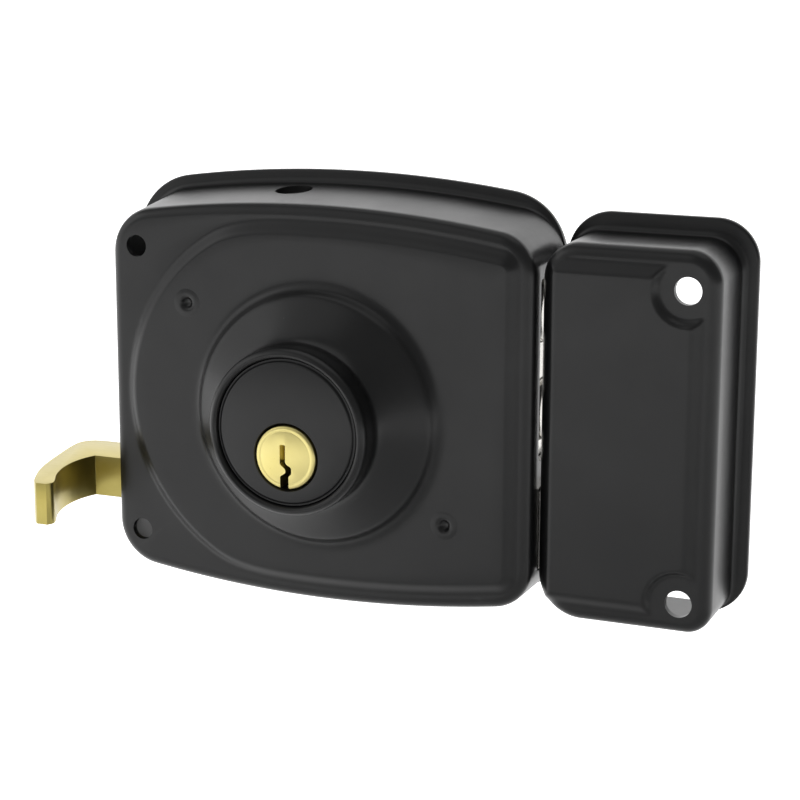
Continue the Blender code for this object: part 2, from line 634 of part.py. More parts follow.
def make_yoke():
    """An eye round the cylinder's rear with an arm to each stud."""
    eye = 17.0 * MM
    end = 5.0 * MM
    (left_x, left_z), (right_x, right_z) = STUDS["upper"], STUDS["lower"]
    slope = Vector((right_x - CYLINDER_X, right_z - CYLINDER_Z))
    heading = Vector((1, 0)).angle_signed(slope) * -1
    half_arm = asin(end / eye)
    outline = (arc(right_x, right_z, end, heading - pi / 2, heading + pi / 2, 9)
               + arc(CYLINDER_X, CYLINDER_Z, eye, heading + half_arm, heading + pi - half_arm, 14)
               + arc(left_x, left_z, end, heading + pi / 2, heading + 3 * pi / 2, 9)
               + arc(CYLINDER_X, CYLINDER_Z, eye, heading + pi + half_arm, heading + 2 * pi - half_arm, 14))
    holes = [circle(CYLINDER_X, CYLINDER_Z, CYLINDER_REAR_R + GAP, 40)]
    holes += [circle(x, z, 1.3 * MM, 16) for x, z in STUDS.values()]
    sheet("cylinder_yoke", [outline] + holes, YOKE_FRONT, YOKE_REAR, "steel")
    panel_front = -CASE_DEPTH - PANEL_RAISE
    for name, (x, z) in STUDS.items():
        head = panel_front - GAP
        shoulder = panel_front + SHEET + GAP
        depths = [(0.0, head - 0.6 * MM), (1.5 * MM, head - 0.5 * MM), (2.4 * MM, head - 0.2 * MM),
                  (2.6 * MM, head),
                  (1.4 * MM, head), (1.4 * MM, shoulder), (1.95 * MM, shoulder), (1.95 * MM, YOKE_FRONT - GAP),
                  (0.0, YOKE_FRONT - GAP)]
        stud = turned(f"yoke_stud_{name}", [(radius, -y) for radius, y in depths], (x, 0.0, z), (0, -1, 0),
                      "black_paint", 16)
        cut(stud, drill("tapped hole", 1.1 * MM, x, z, front=-20.8 * MM, steps=16))
        depths = [(0.0, YOKE_REAR + 1.5 * MM), (2.2 * MM, YOKE_REAR + 1.5 * MM),
                  (2.6 * MM, YOKE_REAR + 1.2 * MM), (2.6 * MM, YOKE_REAR + GAP), (0.8 * MM, YOKE_REAR + GAP),
                  (0.8 * MM, -20.4 * MM), (0.0, -20.4 * MM)]
        turned(f"yoke_screw_{name}", depths, (x, 0.0, z), (0, 1, 0), "steel", 14)


# ---------------------------------------------------------------- deadbolt

def make_carriage():
    finger_x, finger_z = finger_place()
    play = FINGER_R + 0.35 * MM + GAP       # the straight slot's play round the finger's arc
    top = PLUG_Z + CAM_REACH
    finger_slot = (arc(finger_x, finger_z - 0.4 * MM, play, pi, 2 * pi, 9)
                   + arc(finger_x, top + 0.4 * MM, play, 0.0, pi, 9))
    outline = [(CARRIAGE_LEFT, 10.0 * MM), (26.0 * MM, 10.0 * MM), (26.0 * MM, CARRIAGE_BOTTOM),
               (EAR_RIGHT, CARRIAGE_BOTTOM),
               (EAR_RIGHT, CARRIAGE_TOP)]
    for notch in (DETENT_NOSE_X, DETENT_NOSE_X - THROW):
        outline += [(notch + 1.8 * MM, CARRIAGE_TOP), (notch, CARRIAGE_TOP - 0.8 * MM),
                    (notch - 1.8 * MM, CARRIAGE_TOP)]
    outline.append((CARRIAGE_LEFT, CARRIAGE_TOP))
    holes = [finger_slot]
    holes += [slot(POST_X - THROW / 2, z, THROW / 2, POST_R + GAP) for z in POST_HEIGHTS.values()]
    carriage = sheet("bolt_carriage", [outline] + holes, CARRIAGE_FRONT, CARRIAGE_REAR, "steel")
    ear = box("ear", (EAR_LEFT, BOLT_Y - 4.3 * MM, -5.5 * MM),
              (EAR_RIGHT + 0.02 * MM, CARRIAGE_REAR - 0.02 * MM, 28.0 * MM))
    join(carriage, ear)
    pins = [carriage]
    for name, z in BOLT_HEIGHTS.items():
        cut(carriage, rod("pin hole", 2.2 * MM, (EAR_LEFT - THROUGH, BOLT_Y, z), 5 * MM, (1, 0, 0)))
        length = BOLT_TIP - EAR_LEFT + 1.6 * MM
        back = length - (BOLT_TIP - EAR_RIGHT) + GAP
        profile = [(0.0, length), (BOLT_R - 0.9 * MM, length), (BOLT_R - 0.25 * MM, length - 0.3 * MM),
                   (BOLT_R, length - 0.9 * MM), (BOLT_R, back), (1.9 * MM, back), (1.9 * MM, 1.3 * MM),
                   (2.7 * MM, 1.3 * MM), (2.7 * MM, 0.4 * MM), (2.3 * MM, 0.0), (0.0, 0.0)]
        base = (EAR_LEFT - 1.6 * MM, BOLT_Y, z)
        pins.append(turned(f"deadbolt_pin_{name}", profile, base, (1, 0, 0), "nickel", 24))
    return pins


def make_carriage_posts():
    head = CARRIAGE_FRONT - GAP
    for name, z in POST_HEIGHTS.items():
        depths = [(0.0, head - 1.3 * MM), (2.6 * MM, head - 1.3 * MM), (2.9 * MM, head - 1.0 * MM),
                  (2.9 * MM, head), (POST_R, head), (POST_R, CARRIAGE_REAR + GAP),
                  (2.6 * MM, CARRIAGE_REAR + GAP), (2.6 * MM, -PLATE - GAP),
                  (RIVET_R, -PLATE - GAP), (RIVET_R, RIVET_REAR), (0.0, RIVET_REAR)]
        profile = [(radius, -y) for radius, y in depths]
        turned(f"carriage_post_{name}", profile, (POST_X, 0.0, z), (0, -1, 0), "steel", 14)


def make_bolt_guide():
    """An angle on the back plate, with the pins' holes in its standing side."""
    seat = -PLATE - GAP
    profile = [(GUIDE_FOOT_LEFT, seat), (GUIDE_RIGHT, seat), (GUIDE_RIGHT, GUIDE_FRONT), (GUIDE_LEFT, GUIDE_FRONT),
               (GUIDE_LEFT, seat - SHEET), (GUIDE_FOOT_LEFT, seat - SHEET)]
    guide = sheet("bolt_guide", [profile], -9.5 * MM, 29.9 * MM, "nickel", along="Z")
    for z in BOLT_HEIGHTS.values():
        base = (GUIDE_LEFT - THROUGH, BOLT_Y, z)
        cut(guide, rod("guide hole", BOLT_R + GAP, base, 5 * MM, (1, 0, 0), steps=28))
    for name, z in GUIDE_RIVET_HEIGHTS.items():
        cut(guide, drill("guide rivet hole", RIVET_R + GAP, GUIDE_RIVET_X, z, front=-6 * MM, steps=16))
        rivet(f"bolt_guide_rivet_{name}", GUIDE_RIVET_X, z, seat - SHEET - GAP)


def rivet(name, x, z, head):
    """A round-headed rivet along Y, from its head's seat to the back plate's rear face."""
    depths = [(0.0, head - 1.0 * MM), (1.4 * MM, head - 0.8 * MM), (2.1 * MM, head - 0.3 * MM),
              (2.1 * MM, head), (RIVET_R, head), (RIVET_R, RIVET_REAR), (0.0, RIVET_REAR)]
    turned(name, [(radius, -y) for radius, y in depths], (x, 0.0, z), (0, -1, 0), "steel", 12)


def make_detent():
    """A leaf in a slotted post, with its nose over a notch in the carriage's top edge."""
    x, z = DETENT_POST
    flank = CARRIAGE_TOP + GAP + 2.6 * MM
    nose = CARRIAGE_TOP + GAP + 0.3 * MM
    path = [(x - 2.0 * MM, z), (x + 4.0 * MM, z), (DETENT_NOSE_X - 4.0 * MM, flank),
            (DETENT_NOSE_X - 1.2 * MM, nose), (DETENT_NOSE_X + 1.2 * MM, nose), (DETENT_NOSE_X + 4.0 * MM, flank)]
    outline = [(a, b - LEAF / 2) for a, b in path] + [(a, b + LEAF / 2) for a, b in reversed(path)]
    sheet("detent_spring", [outline], LEAF_FRONT, LEAF_REAR, "spring_steel")
    depths = [(0.0, -9.2 * MM), (2.2 * MM, -9.2 * MM), (2.6 * MM, -8.8 * MM), (2.6 * MM, -PLATE - GAP),
              (RIVET_R, -PLATE - GAP), (RIVET_R, RIVET_REAR), (0.0, RIVET_REAR)]
    profile = [(radius, -y) for radius, y in depths]
    post = turned("detent_post", profile, (x, 0.0, z), (0, -1, 0), "steel", 20)
    cut(post, box("leaf slot", (x - 4 * MM, LEAF_FRONT - GAP, z - LEAF / 2 - GAP),
                  (x + 4 * MM, LEAF_REAR + GAP, z + LEAF / 2 + GAP)))


# ---------------------------------------------------------------- latch

def make_latch():
    nose = [(LATCH_LEFT, LATCH_FRONT), (LATCH_TIP, LATCH_FRONT), (LATCH_TIP, LATCH_FRONT + 2.5 * MM),
            (LATCH_TIP - 10.2 * MM, LATCH_REAR), (LATCH_LEFT, LATCH_REAR)]
    latch = sheet("latch_bolt", [nose], LATCH_Z - LATCH_HALF, LATCH_Z + LATCH_HALF, "nickel", along="Z")
    round_edges(latch, 0.5 * MM, 2, 25)
    rivet_x = 66.0 * MM
    cut(latch, box("stud relief", (LATCH_LEFT - THROUGH, LATCH_FRONT - THROUGH, STUDS["lower"][1] - 3.2 * MM),
                   (84.0 * MM, -14.7 * MM, STUDS["lower"][1] + 3.2 * MM)),
        box("bar socket", (LATCH_LEFT - THROUGH, BAR_FRONT - GAP, LATCH_Z - BAR_HALF - GAP),
            (BAR_RIGHT + GAP, BAR_REAR + GAP, LATCH_Z + BAR_HALF + GAP)),
        drill("latch rivet hole", RIVET_R + GAP, rivet_x, LATCH_Z, steps=16))

    hook_rivet_x = 9.0 * MM
    holes = [circle(x, LATCH_Z, RIVET_R + GAP, 16) for x in (hook_rivet_x, rivet_x)]
    bar_outline = rectangle(BAR_LEFT, BAR_RIGHT, LATCH_Z - BAR_HALF, LATCH_Z + BAR_HALF)
    bar = sheet("latch_bar", [bar_outline] + holes, BAR_FRONT, BAR_REAR, "steel")
    ends = (("latch_rivet", rivet_x, -14.5 * MM, LATCH_REAR - 0.1 * MM, "steel"),
            ("pull_rivet", hook_rivet_x, HOOK_FRONT + 0.1 * MM, HOOK_REAR - 0.1 * MM, "brass"))
    pieces = [latch, bar]
    for name, x, low, high, finish in ends:
        pieces.append(rod(name, RIVET_R, (x, low, LATCH_Z), high - low, (0, 1, 0), finish, 16))
    return pieces + [make_hook(hook_rivet_x)]


def make_hook(rivet_x):
    """The finger pull: a bar of even height whose plan curls forward and back to the case."""
    outer = [(-20.0, -1.8), (-22.6, -2.4), (-24.2, -4.0), (-24.6, -6.4), (-24.1, -10.5), (-22.9, -17.0),
             (-21.9, -23.0), (-20.3, -28.8), (-18.2, -33.8), (-16.6, -36.8), (-15.2, -37.9)]
    inner = [(-13.6, -37.8), (-12.6, -36.8), (-12.7, -35.6), (-14.2, -32.4), (-15.9, -28.2), (-17.0, -23.6),
             (-17.2, -20.0), (-16.6, -17.0), (-15.2, -14.8), (-13.2, -13.7)]
    outline = [(x * MM, y * MM) for x, y in outer + inner]
    outline += [(-11.0 * MM, HOOK_FRONT), (HOOK_RIGHT, HOOK_FRONT), (HOOK_RIGHT, HOOK_REAR)]
    hook = sheet("pull_hook", [outline], LATCH_Z - HOOK_HALF, LATCH_Z + HOOK_HALF, "brass", along="Z")
    round_edges(hook, 0.5 * MM, 2, 60)
    cut(hook, box("hook socket", (BAR_LEFT - GAP, BAR_FRONT - GAP, LATCH_Z - BAR_HALF - GAP),
                  (HOOK_RIGHT + THROUGH, BAR_REAR + GAP, LATCH_Z + BAR_HALF + GAP)),
        drill("hook rivet hole", RIVET_R + GAP, rivet_x, LATCH_Z, steps=16))
    return hook


def make_latch_spring():
    middle = (BAR_FRONT + BAR_REAR) / 2
    coil("latch_spring", (BRACKET_RIGHT + GAP, middle, LATCH_Z), 3.7 * MM, 0.45 * MM,
         LATCH_LEFT - BRACKET_RIGHT - 2 * GAP, 11, "X", "spring_steel", 12)
    seat = -PLATE - GAP
    low = LATCH_Z - 5.0 * MM
    high = LATCH_Z + 5.0 * MM
    profile = [(BRACKET_LEFT, seat), (31.0 * MM, seat), (31.0 * MM, seat - SHEET), (BRACKET_RIGHT, seat - SHEET),
               (BRACKET_RIGHT, -14.6 * MM), (BRACKET_LEFT, -14.6 * MM)]
    bracket = sheet("spring_bracket", [profile], low, high, "steel", along="Z")
    cut(bracket, box("bar hole", (BRACKET_LEFT - THROUGH, BAR_FRONT - GAP, LATCH_Z - BAR_HALF - GAP),
                     (BRACKET_RIGHT + THROUGH, BAR_REAR + GAP, LATCH_Z + BAR_HALF + GAP)),
        drill("bracket rivet hole", RIVET_R + GAP, 27.5 * MM, LATCH_Z, front=-6 * MM, steps=16))
    rivet("bracket_rivet", 27.5 * MM, LATCH_Z, seat - SHEET - GAP)


# ---------------------------------------------------------------- keeper

def keeper_outline(inset=0.0):
    return round_rectangle(KEEPER_LEFT + inset, KEEPER_RIGHT - inset, KEEPER_Z - KEEPER_HALF + inset,
                           KEEPER_Z + KEEPER_HALF - inset, [radius - inset for radius in KEEPER_CORNERS])


def keeper_rim_outline(share):
    """The walls' outline at share 0, and the rim's edge at share 1."""
    radii = [radius + share * more for radius, more in zip(KEEPER_CORNERS, KEEPER_RIM_CORNERS)]
    return round_rectangle(KEEPER_LEFT, KEEPER_RIGHT + share * KEEPER_RIM_RIGHT,
                           KEEPER_Z - KEEPER_HALF - share * KEEPER_RIM_BOTTOM,
                           KEEPER_Z + KEEPER_HALF + share * KEEPER_RIM_TOP, radii)


def keeper_panel(name, inset, rear, front):
    """The keeper's raised panel as a loft, less a round pocket at each screw hole."""
    left = KEEPER_LEFT + KEEPER_PANEL_SIDE + inset
    right = KEEPER_RIGHT - KEEPER_PANEL_SIDE - inset
    low = KEEPER_Z - KEEPER_HALF + KEEPER_PANEL_END + inset
    high = KEEPER_Z + KEEPER_HALF - KEEPER_PANEL_END - inset
    foot = round_rectangle(left, right, low, high, [KEEPER_PANEL_CORNER] * 4)
    crest = round_rectangle(left + KEEPER_SLOPE, right - KEEPER_SLOPE, low + KEEPER_SLOPE,
                            high - KEEPER_SLOPE, [KEEPER_PANEL_CORNER - KEEPER_SLOPE] * 4)
    panel = loft(name, [(foot, rear), (foot, front + KEEPER_RAISE - 0.02 * MM), (crest, front)])
    for sign in (-1, 1):
        z = KEEPER_HOLE_Z + sign * KEEPER_HOLE_SPACING / 2
        wall = POCKET_R + inset
        pocket = [(0.0, 4 * MM), (wall + 1.8 * MM, 4 * MM), (wall + 1.2 * MM, KEEPER_RAISE),
                  (wall, -3 * MM), (0.0, -3 * MM)]
        cut(panel, turned("pocket", pocket, (KEEPER_HOLE_X, front + KEEPER_RAISE, z), (0, -1, 0), steps=32))
    return panel


def make_keeper():
    front = -KEEPER_DEPTH
    skin = [(keeper_rim_outline(1.0), 0.0), (keeper_rim_outline(1.0), -SHEET),
            (keeper_rim_outline(0.2), -SHEET - 0.3 * MM), (keeper_outline(), RIM_FOOT)]
    skin += bend_sections(keeper_outline, 0.0, front, KEEPER_BEND, (0, 30, 60, 90))
    keeper = loft("keeper_box", skin, "black_paint")
    join(keeper, keeper_panel("keeper panel", 0.0, front + 0.5 * MM, front - KEEPER_RAISE))
    hollow = [(keeper_outline(SHEET), THROUGH)]
    hollow += bend_sections(keeper_outline, SHEET, front + SHEET, KEEPER_BEND - SHEET, (0, 45, 90))
    cut(keeper, loft("keeper hollow", hollow),
        keeper_panel("keeper panel hollow", PANEL_INSET, front + SHEET + 0.4 * MM,
                     front + SHEET - KEEPER_RAISE),
        box("keeper mouth",
            (KEEPER_LEFT - THROUGH, front + KEEPER_MOUTH_FRONT, KEEPER_Z - KEEPER_HALF + KEEPER_MOUTH_END),
            (KEEPER_LEFT + 2 * SHEET, THROUGH, KEEPER_Z + KEEPER_HALF - KEEPER_MOUTH_END)))
    for sign in (-1, 1):
        z = KEEPER_HOLE_Z + sign * KEEPER_HOLE_SPACING / 2
        cut(keeper, drill("keeper screw hole", KEEPER_HOLE_R, KEEPER_HOLE_X, z, rear=-0.012))
    return keeper


# ---------------------------------------------------------------- assembly

clear_scene()
parts = new_collection("rim_night_latch")
cutters = new_collection("cutters")
materials = {name: make_material(name) for name in MATERIALS}

make_case_cover()
make_back_plate()
make_cover_screws()
make_cylinder_body()
make_chamber_cover()
make_yoke()
make_carriage_posts()
make_bolt_guide()
make_detent()
make_latch_spring()

plug_axis = add_joint_empty("plug_turn_axis", (CYLINDER_X, PLUG_FACE, PLUG_Z))
attach([make_plug()] + make_tail_cam() + make_pin_stacks(), plug_axis)
attach(make_carriage(), add_joint_empty("deadbolt_slide_axis", (BOLT_TIP, BOLT_Y, 0.0)))
latch_centre = (LATCH_TIP, (LATCH_FRONT + LATCH_REAR) / 2, LATCH_Z)
attach(make_latch(), add_joint_empty("latch_slide_axis", latch_centre))
attach([make_keeper()], add_joint_empty("keeper_slide_axis", (KEEPER_LEFT, 0.0, KEEPER_Z)))
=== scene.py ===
"""The look of the rim night latch: refined shells, hook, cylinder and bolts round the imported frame."""
import json
from math import atan2, cos, pi, radians, sin, sqrt

import bmesh
import bpy
import numpy as np
from mathutils import Matrix, Vector


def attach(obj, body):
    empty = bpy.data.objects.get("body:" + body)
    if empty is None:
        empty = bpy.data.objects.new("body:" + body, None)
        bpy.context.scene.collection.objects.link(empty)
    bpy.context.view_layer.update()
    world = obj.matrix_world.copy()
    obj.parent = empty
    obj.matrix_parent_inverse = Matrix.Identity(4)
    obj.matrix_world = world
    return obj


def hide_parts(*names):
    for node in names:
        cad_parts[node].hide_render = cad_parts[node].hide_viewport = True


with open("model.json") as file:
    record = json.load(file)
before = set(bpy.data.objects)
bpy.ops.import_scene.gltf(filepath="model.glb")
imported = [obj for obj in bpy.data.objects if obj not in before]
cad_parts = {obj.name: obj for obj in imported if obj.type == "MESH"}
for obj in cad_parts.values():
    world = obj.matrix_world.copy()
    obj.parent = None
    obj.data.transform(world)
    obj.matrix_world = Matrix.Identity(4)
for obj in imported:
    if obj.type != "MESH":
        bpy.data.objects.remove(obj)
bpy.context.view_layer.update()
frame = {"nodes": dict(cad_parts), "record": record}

MM = 0.001

# ---------------------------------------------------------------- sizes, in millimetres

# Case. X runs along the door towards the frame, -Y away from the door and Z up.
LEFT, RIGHT = -5.9, 85.65
MIDDLE = (LEFT + RIGHT) / 2
HALF = 40.7         # half the height at the middle
ARCH = 252.0        # radius of the arched top and bottom
DROP = ARCH - HALF  # of the arch's centre under the middle
CORNER_LEFT, CORNER_RIGHT = 9.6, 8.5
FRONT = -21.5
SHEET = 1.4         # thickness of the drawn sheet
BEND = 2.2          # radius from the front into the walls
DRAFT = 1.6         # how far the top and left walls lean out towards the door
RIM = 2.9
LOWER_SHARE = 0.3   # of the lean and the rim that the bottom wall has
COVE = 1.5          # radius from the walls into the rim
LIP = 0.6           # radius of the rim's outer edge
BACK_CHAMFER = 0.25
DOOR_SCREW = {"x": 0.0, "z": 30.1, "radius": 2.25}
WALL_HOLE = {"x": 29.4, "y": -8.1, "radius": 3.85}      # for a screwdriver, in the top and bottom walls
BOLT_WINDOW = (82.6, -16.6, -8.0), (88.0, -3.2, 28.4)
LATCH_WINDOW = (82.6, -16.1, -30.7), (88.0, -4.0, -13.3)
HOOK_WINDOW = (-14.0, -14.1, -26.95), (-3.8, 6.0, -17.05)

# The case's raised panel
RAISE = 1.5
SLOPE = 3.0
INNER_SHRINK = 0.28     # of the panel per millimetre of depth, on the sheet's inner face
PANEL_ARCH = ARCH - 3.0
PANEL_ARC = 39.5        # radius of the panel's round left end
PANEL_ARC_X = 36.8
PANEL_BLEND = 2.4       # where the round end runs into the arch
PANEL_RIGHT = 83.4
PANEL_CORNER = 4.0

# Boss, cylinder and the studs of its yoke
BOSS_X, BOSS_Z = 41.0, -1.6
BOSS_FOOT = 30.5        # where the boss's rings pass into the panel's
BOSS_BORE = 14.8
PLUG_Z = -6.5
PLUG_R = 6.35
PLUG_REAR = 12.5        # heights here stand off the door, along -Y
CHAMBERS = [-34.6 + 3.6 * i for i in range(5)]
CHAMBER_R = 1.55
STUDS = (("upper", 12.2, 19.4), ("lower", 68.4, -21.2))
STUD_HOLE = 1.7

# Keeper. A corner is named by the sides, right or left and top or bottom, that meet in it.
KEEPER_LEFT, KEEPER_RIGHT = 86.0, 121.3
KEEPER_MIDDLE = (KEEPER_LEFT + KEEPER_RIGHT) / 2
KEEPER_Z = -1.5
KEEPER_HALF = 37.6
KEEPER_FRONT = -18.0
KEEPER_CORNERS = {(1, -1): 5.2, (1, 1): 6.5, (-1, 1): 7.4, (-1, -1): 9.0}
KEEPER_BEND = 2.4
KEEPER_RIM_RIGHT = 3.2
KEEPER_RIM_TOP = 3.9
KEEPER_RIM_BOTTOM = 0.4
KEEPER_RIM_CORNERS = {(1, -1): 9.0, (1, 1): 8.5, (-1, 1): 9.0, (-1, -1): 9.0}
KEEPER_RAISE = 1.2
KEEPER_SLOPE = 2.8
KEEPER_PANEL_LEFT, KEEPER_PANEL_RIGHT, KEEPER_PANEL_END = 0.5, 2.8, 2.9     # margins round the panel
KEEPER_INNER_SHRINK = 0.12
KEEPER_HOLE_X = 115.0
KEEPER_HOLE_Z = -2.3
KEEPER_HOLE_SPACING = 61.4
KEEPER_HOLE_R = 2.7
KEEPER_HOLES = [KEEPER_HOLE_Z + side * KEEPER_HOLE_SPACING / 2 for side in (-1, 1)]
POCKET = 5.6            # radius of the low pockets round the screw holes
POCKET_SLOPE = 1.3
POCKET_BLEND = 0.5
KEEPER_MOUTH = (83.0, -16.3, -33.9), (89.4, 6.0, 30.9)

# Bolts, and the latch with its bar and hook
DEADBOLTS = (("upper", 21.0), ("lower", 1.3))
DEADBOLT_X, DEADBOLT_Y = 55.4, -9.85
LATCH_Z = -22.0
LATCH_HALF = 8.2
HOOK_HALF = 4.35
BAR_SLOT_Y = -11.5, -8.1
BAR_SLOT_HALF = 2.8
RIVET_HOLE = 1.5


# ---------------------------------------------------------------- materials

def new_material(name):
    material = bpy.data.materials.new(name)
    material.use_nodes = True
    nodes = material.node_tree.nodes
    return material, nodes, material.node_tree.links, nodes["Principled BSDF"]


def noise(nodes, links, scale, detail=3.0, stretch=None, roughness=0.55):
    """Noise in object space, with the stretch along each axis."""
    coordinates = nodes.new("ShaderNodeTexCoord")
    mapping = nodes.new("ShaderNodeMapping")
    if stretch:
        mapping.inputs["Scale"].default_value = stretch
    links.new(coordinates.outputs["Object"], mapping.inputs["Vector"])
    texture = nodes.new("ShaderNodeTexNoise")
    texture.inputs["Scale"].default_value = scale
    texture.inputs["Detail"].default_value = detail
    texture.inputs["Roughness"].default_value = roughness
    links.new(mapping.outputs["Vector"], texture.inputs["Vector"])
    return texture.outputs["Fac"]


def ramp(nodes, links, source, stops):
    """A colour ramp of (position, colour or grey value) stops."""
    node = nodes.new("ShaderNodeValToRGB")
    elements = node.color_ramp.elements
    while len(elements) < len(stops):
        elements.new(0.5)
    for element, (position, value) in zip(elements, stops):
        element.position = position
        element.color = (*value, 1.0) if isinstance(value, tuple) else (value, value, value, 1.0)
    links.new(source, node.inputs["Fac"])
    return node.outputs["Color"]


def bump(nodes, links, shader, layers):
    """Chains bumps of (height source, strength, distance in metres)."""
    previous = None
    for height, strength, distance in layers:
        node = nodes.new("ShaderNodeBump")
        node.inputs["Strength"].default_value = strength
        node.inputs["Distance"].default_value = distance
        links.new(height, node.inputs["Height"])
        if previous:
            links.new(previous, node.inputs["Normal"])
        previous = node.outputs["Normal"]
    links.new(previous, shader.inputs["Normal"])


def mix_colour(nodes, links, factor, first, second):
    node = nodes.new("ShaderNodeMix")
    node.data_type = "RGBA"
    links.new(factor, node.inputs[0])
    for socket, value in ((node.inputs[6], first), (node.inputs[7], second)):
        if isinstance(value, tuple):
            socket.default_value = (*value, 1.0)
        else:
            links.new(value, socket)
    return node.outputs[2]


def make_enamel():
    """Satin black stove enamel: faint mottle, orange peel, and specks of dust."""
    material, nodes, links, shader = new_material("black_enamel")
    mottle = ramp(nodes, links, noise(nodes, links, 55.0, 4.0),
                  [(0.30, (0.0055, 0.0056, 0.0060)), (0.72, (0.0085, 0.0086, 0.0088))])
    pointiness = nodes.new("ShaderNodeNewGeometry").outputs["Pointiness"]
    worn = ramp(nodes, links, pointiness, [(0.54, 0.0), (0.64, 0.25)])
    edged = mix_colour(nodes, links, worn, mottle, (0.030, 0.030, 0.031))
    coordinates = nodes.new("ShaderNodeTexCoord")
    cells = nodes.new("ShaderNodeTexVoronoi")
    cells.inputs["Scale"].default_value = 260.0
    links.new(coordinates.outputs["Object"], cells.inputs["Vector"])
    specks = ramp(nodes, links, cells.outputs["Distance"], [(0.030, 0.30), (0.045, 0.0)])
    patch = ramp(nodes, links, noise(nodes, links, 120.0, 2.0), [(0.60, 0.0), (0.66, 1.0)])
    sparse = nodes.new("ShaderNodeMath")
    sparse.operation = "MULTIPLY"
    links.new(specks, sparse.inputs[0])
    links.new(patch, sparse.inputs[1])
    dusted = mix_colour(nodes, links, sparse.outputs[0], edged, (0.20, 0.19, 0.18))
    links.new(dusted, shader.inputs["Base Color"])
    gloss = ramp(nodes, links, noise(nodes, links, 90.0, 5.0), [(0.25, 0.28), (0.75, 0.35)])
    links.new(gloss, shader.inputs["Roughness"])
    shader.inputs["IOR"].default_value = 1.45
    shader.inputs["Coat Weight"].default_value = 0.04
    shader.inputs["Coat Roughness"].default_value = 0.22
    peel = noise(nodes, links, 900.0, 2.0)
    drawn = noise(nodes, links, 45.0, 2.0)
    bump(nodes, links, shader, [(drawn, 0.25, 0.0004), (peel, 0.12, 0.00006)])
    return material


def make_metal(name, dark, light, rough, lines, line_axis, bump_strength, crease_shade=None):
    """A bare or plated metal with fine lines along an axis, handling marks and uneven gloss, and painted
    shade in its concave creases when a shade colour is given.
    """
    material, nodes, links, shader = new_material(name)
    shader.inputs["Metallic"].default_value = 1.0
    stretch = [1.0, 1.0, 1.0]
    stretch["XYZ".index(line_axis)] = 0.03
    fine = noise(nodes, links, lines, 3.0, stretch)
    cloud = noise(nodes, links, 70.0, 4.0)
    colour = ramp(nodes, links, cloud, [(0.30, dark), (0.70, light)])
    # Painted shade: concave creases, found by low pointiness, are darkened towards the given colour.
    if crease_shade:
        pointiness = nodes.new("ShaderNodeNewGeometry").outputs["Pointiness"]
        hollow = ramp(nodes, links, pointiness, [(0.40, 0.8), (0.49, 0.0)])
        colour = mix_colour(nodes, links, hollow, colour, crease_shade)
    links.new(colour, shader.inputs["Base Color"])
    mixed = nodes.new("ShaderNodeMath")
    mixed.operation = "ADD"
    links.new(fine, mixed.inputs[0])
    links.new(cloud, mixed.inputs[1])
    gloss = ramp(nodes, links, mixed.outputs[0], [(0.35, rough[0]), (1.0, rough[1])])
    links.new(gloss, shader.inputs["Roughness"])
    bump(nodes, links, shader, [(fine, bump_strength, 0.00003), (cloud, 0.12, 0.0002)])
    return material


materials = {
    "black_paint": make_enamel(),
    # The last colour given for the brass and for the zinc plate is painted shade for their concave creases.
    "brass": make_metal("drawn_brass", dark=(0.40, 0.33, 0.09), light=(0.52, 0.44, 0.15), rough=(0.20, 0.34),
                        lines=2600.0, line_axis="X", bump_strength=0.12, crease_shade=(0.30, 0.20, 0.06)),
    "nickel": make_metal("nickel_plate", dark=(0.60, 0.58, 0.54), light=(0.78, 0.76, 0.72),
                         rough=(0.10, 0.26), lines=2000.0, line_axis="X", bump_strength=0.1),
    "steel": make_metal("zinc_plate", dark=(0.38, 0.38, 0.36), light=(0.56, 0.56, 0.54), rough=(0.30, 0.48),
                        lines=1600.0, line_axis="Z", bump_strength=0.25, crease_shade=(0.16, 0.15, 0.14)),
    "spring_steel": make_metal("spring_steel_wire", dark=(0.22, 0.23, 0.25), light=(0.40, 0.41, 0.43),
                               rough=(0.22, 0.38), lines=1800.0, line_axis="X", bump_strength=0.15),
}
plug_brass = make_metal("turned_brass", dark=(0.70, 0.60, 0.22), light=(0.80, 0.70, 0.30), rough=(0.22, 0.32),
                        lines=3000.0, line_axis="Y", bump_strength=0.04)


# ---------------------------------------------------------------- mesh helpers

def make_object(name, mesh, slot):
    piece = bpy.data.objects.new(name, mesh)
    bpy.context.scene.collection.objects.link(piece)
    mesh.materials.clear()
    mesh.materials.append(materials[slot])
    return piece


def finish_piece(piece, body, slot, *nodes, angle=38):
    piece.data.shade_smooth()
    piece.data.set_sharp_from_angle(angle=radians(angle))
    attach(piece, body)
    if nodes:
        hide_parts(*nodes)
    return piece


def ring_mesh(name, rings, closed):
    """A mesh through rings of equal length. A closed one ends on its first ring; another is capped."""
    count = len(rings[0])
    verts = np.concatenate(rings) * MM
    faces = []
    total = len(rings)
    for ring in range(total if closed else total - 1):
        here, there = ring * count, ((ring + 1) % total) * count
        for i in range(count):
            j = (i + 1) % count
            faces.append((here + i, here + j, there + j, there + i))
    if not closed:
        faces.append(tuple(range(count - 1, -1, -1)))
        faces.append(tuple(range((total - 1) * count, total * count)))
    mesh = bpy.data.meshes.new(name)
    mesh.from_pydata(verts.tolist(), [], faces)
    recalculate(mesh)
    return mesh


def recalculate(mesh):
    form = bmesh.new()
    form.from_mesh(mesh)
    bmesh.ops.recalc_face_normals(form, faces=form.faces)
    form.to_mesh(mesh)
    form.free()


def applied(piece):
    """Replaces a piece's mesh by its evaluated one and drops the modifiers."""
    graph = bpy.context.evaluated_depsgraph_get()
    mesh = bpy.data.meshes.new_from_object(piece.evaluated_get(graph))
    piece.modifiers.clear()
    old = piece.data
    piece.data = mesh
    bpy.data.meshes.remove(old)
    return piece


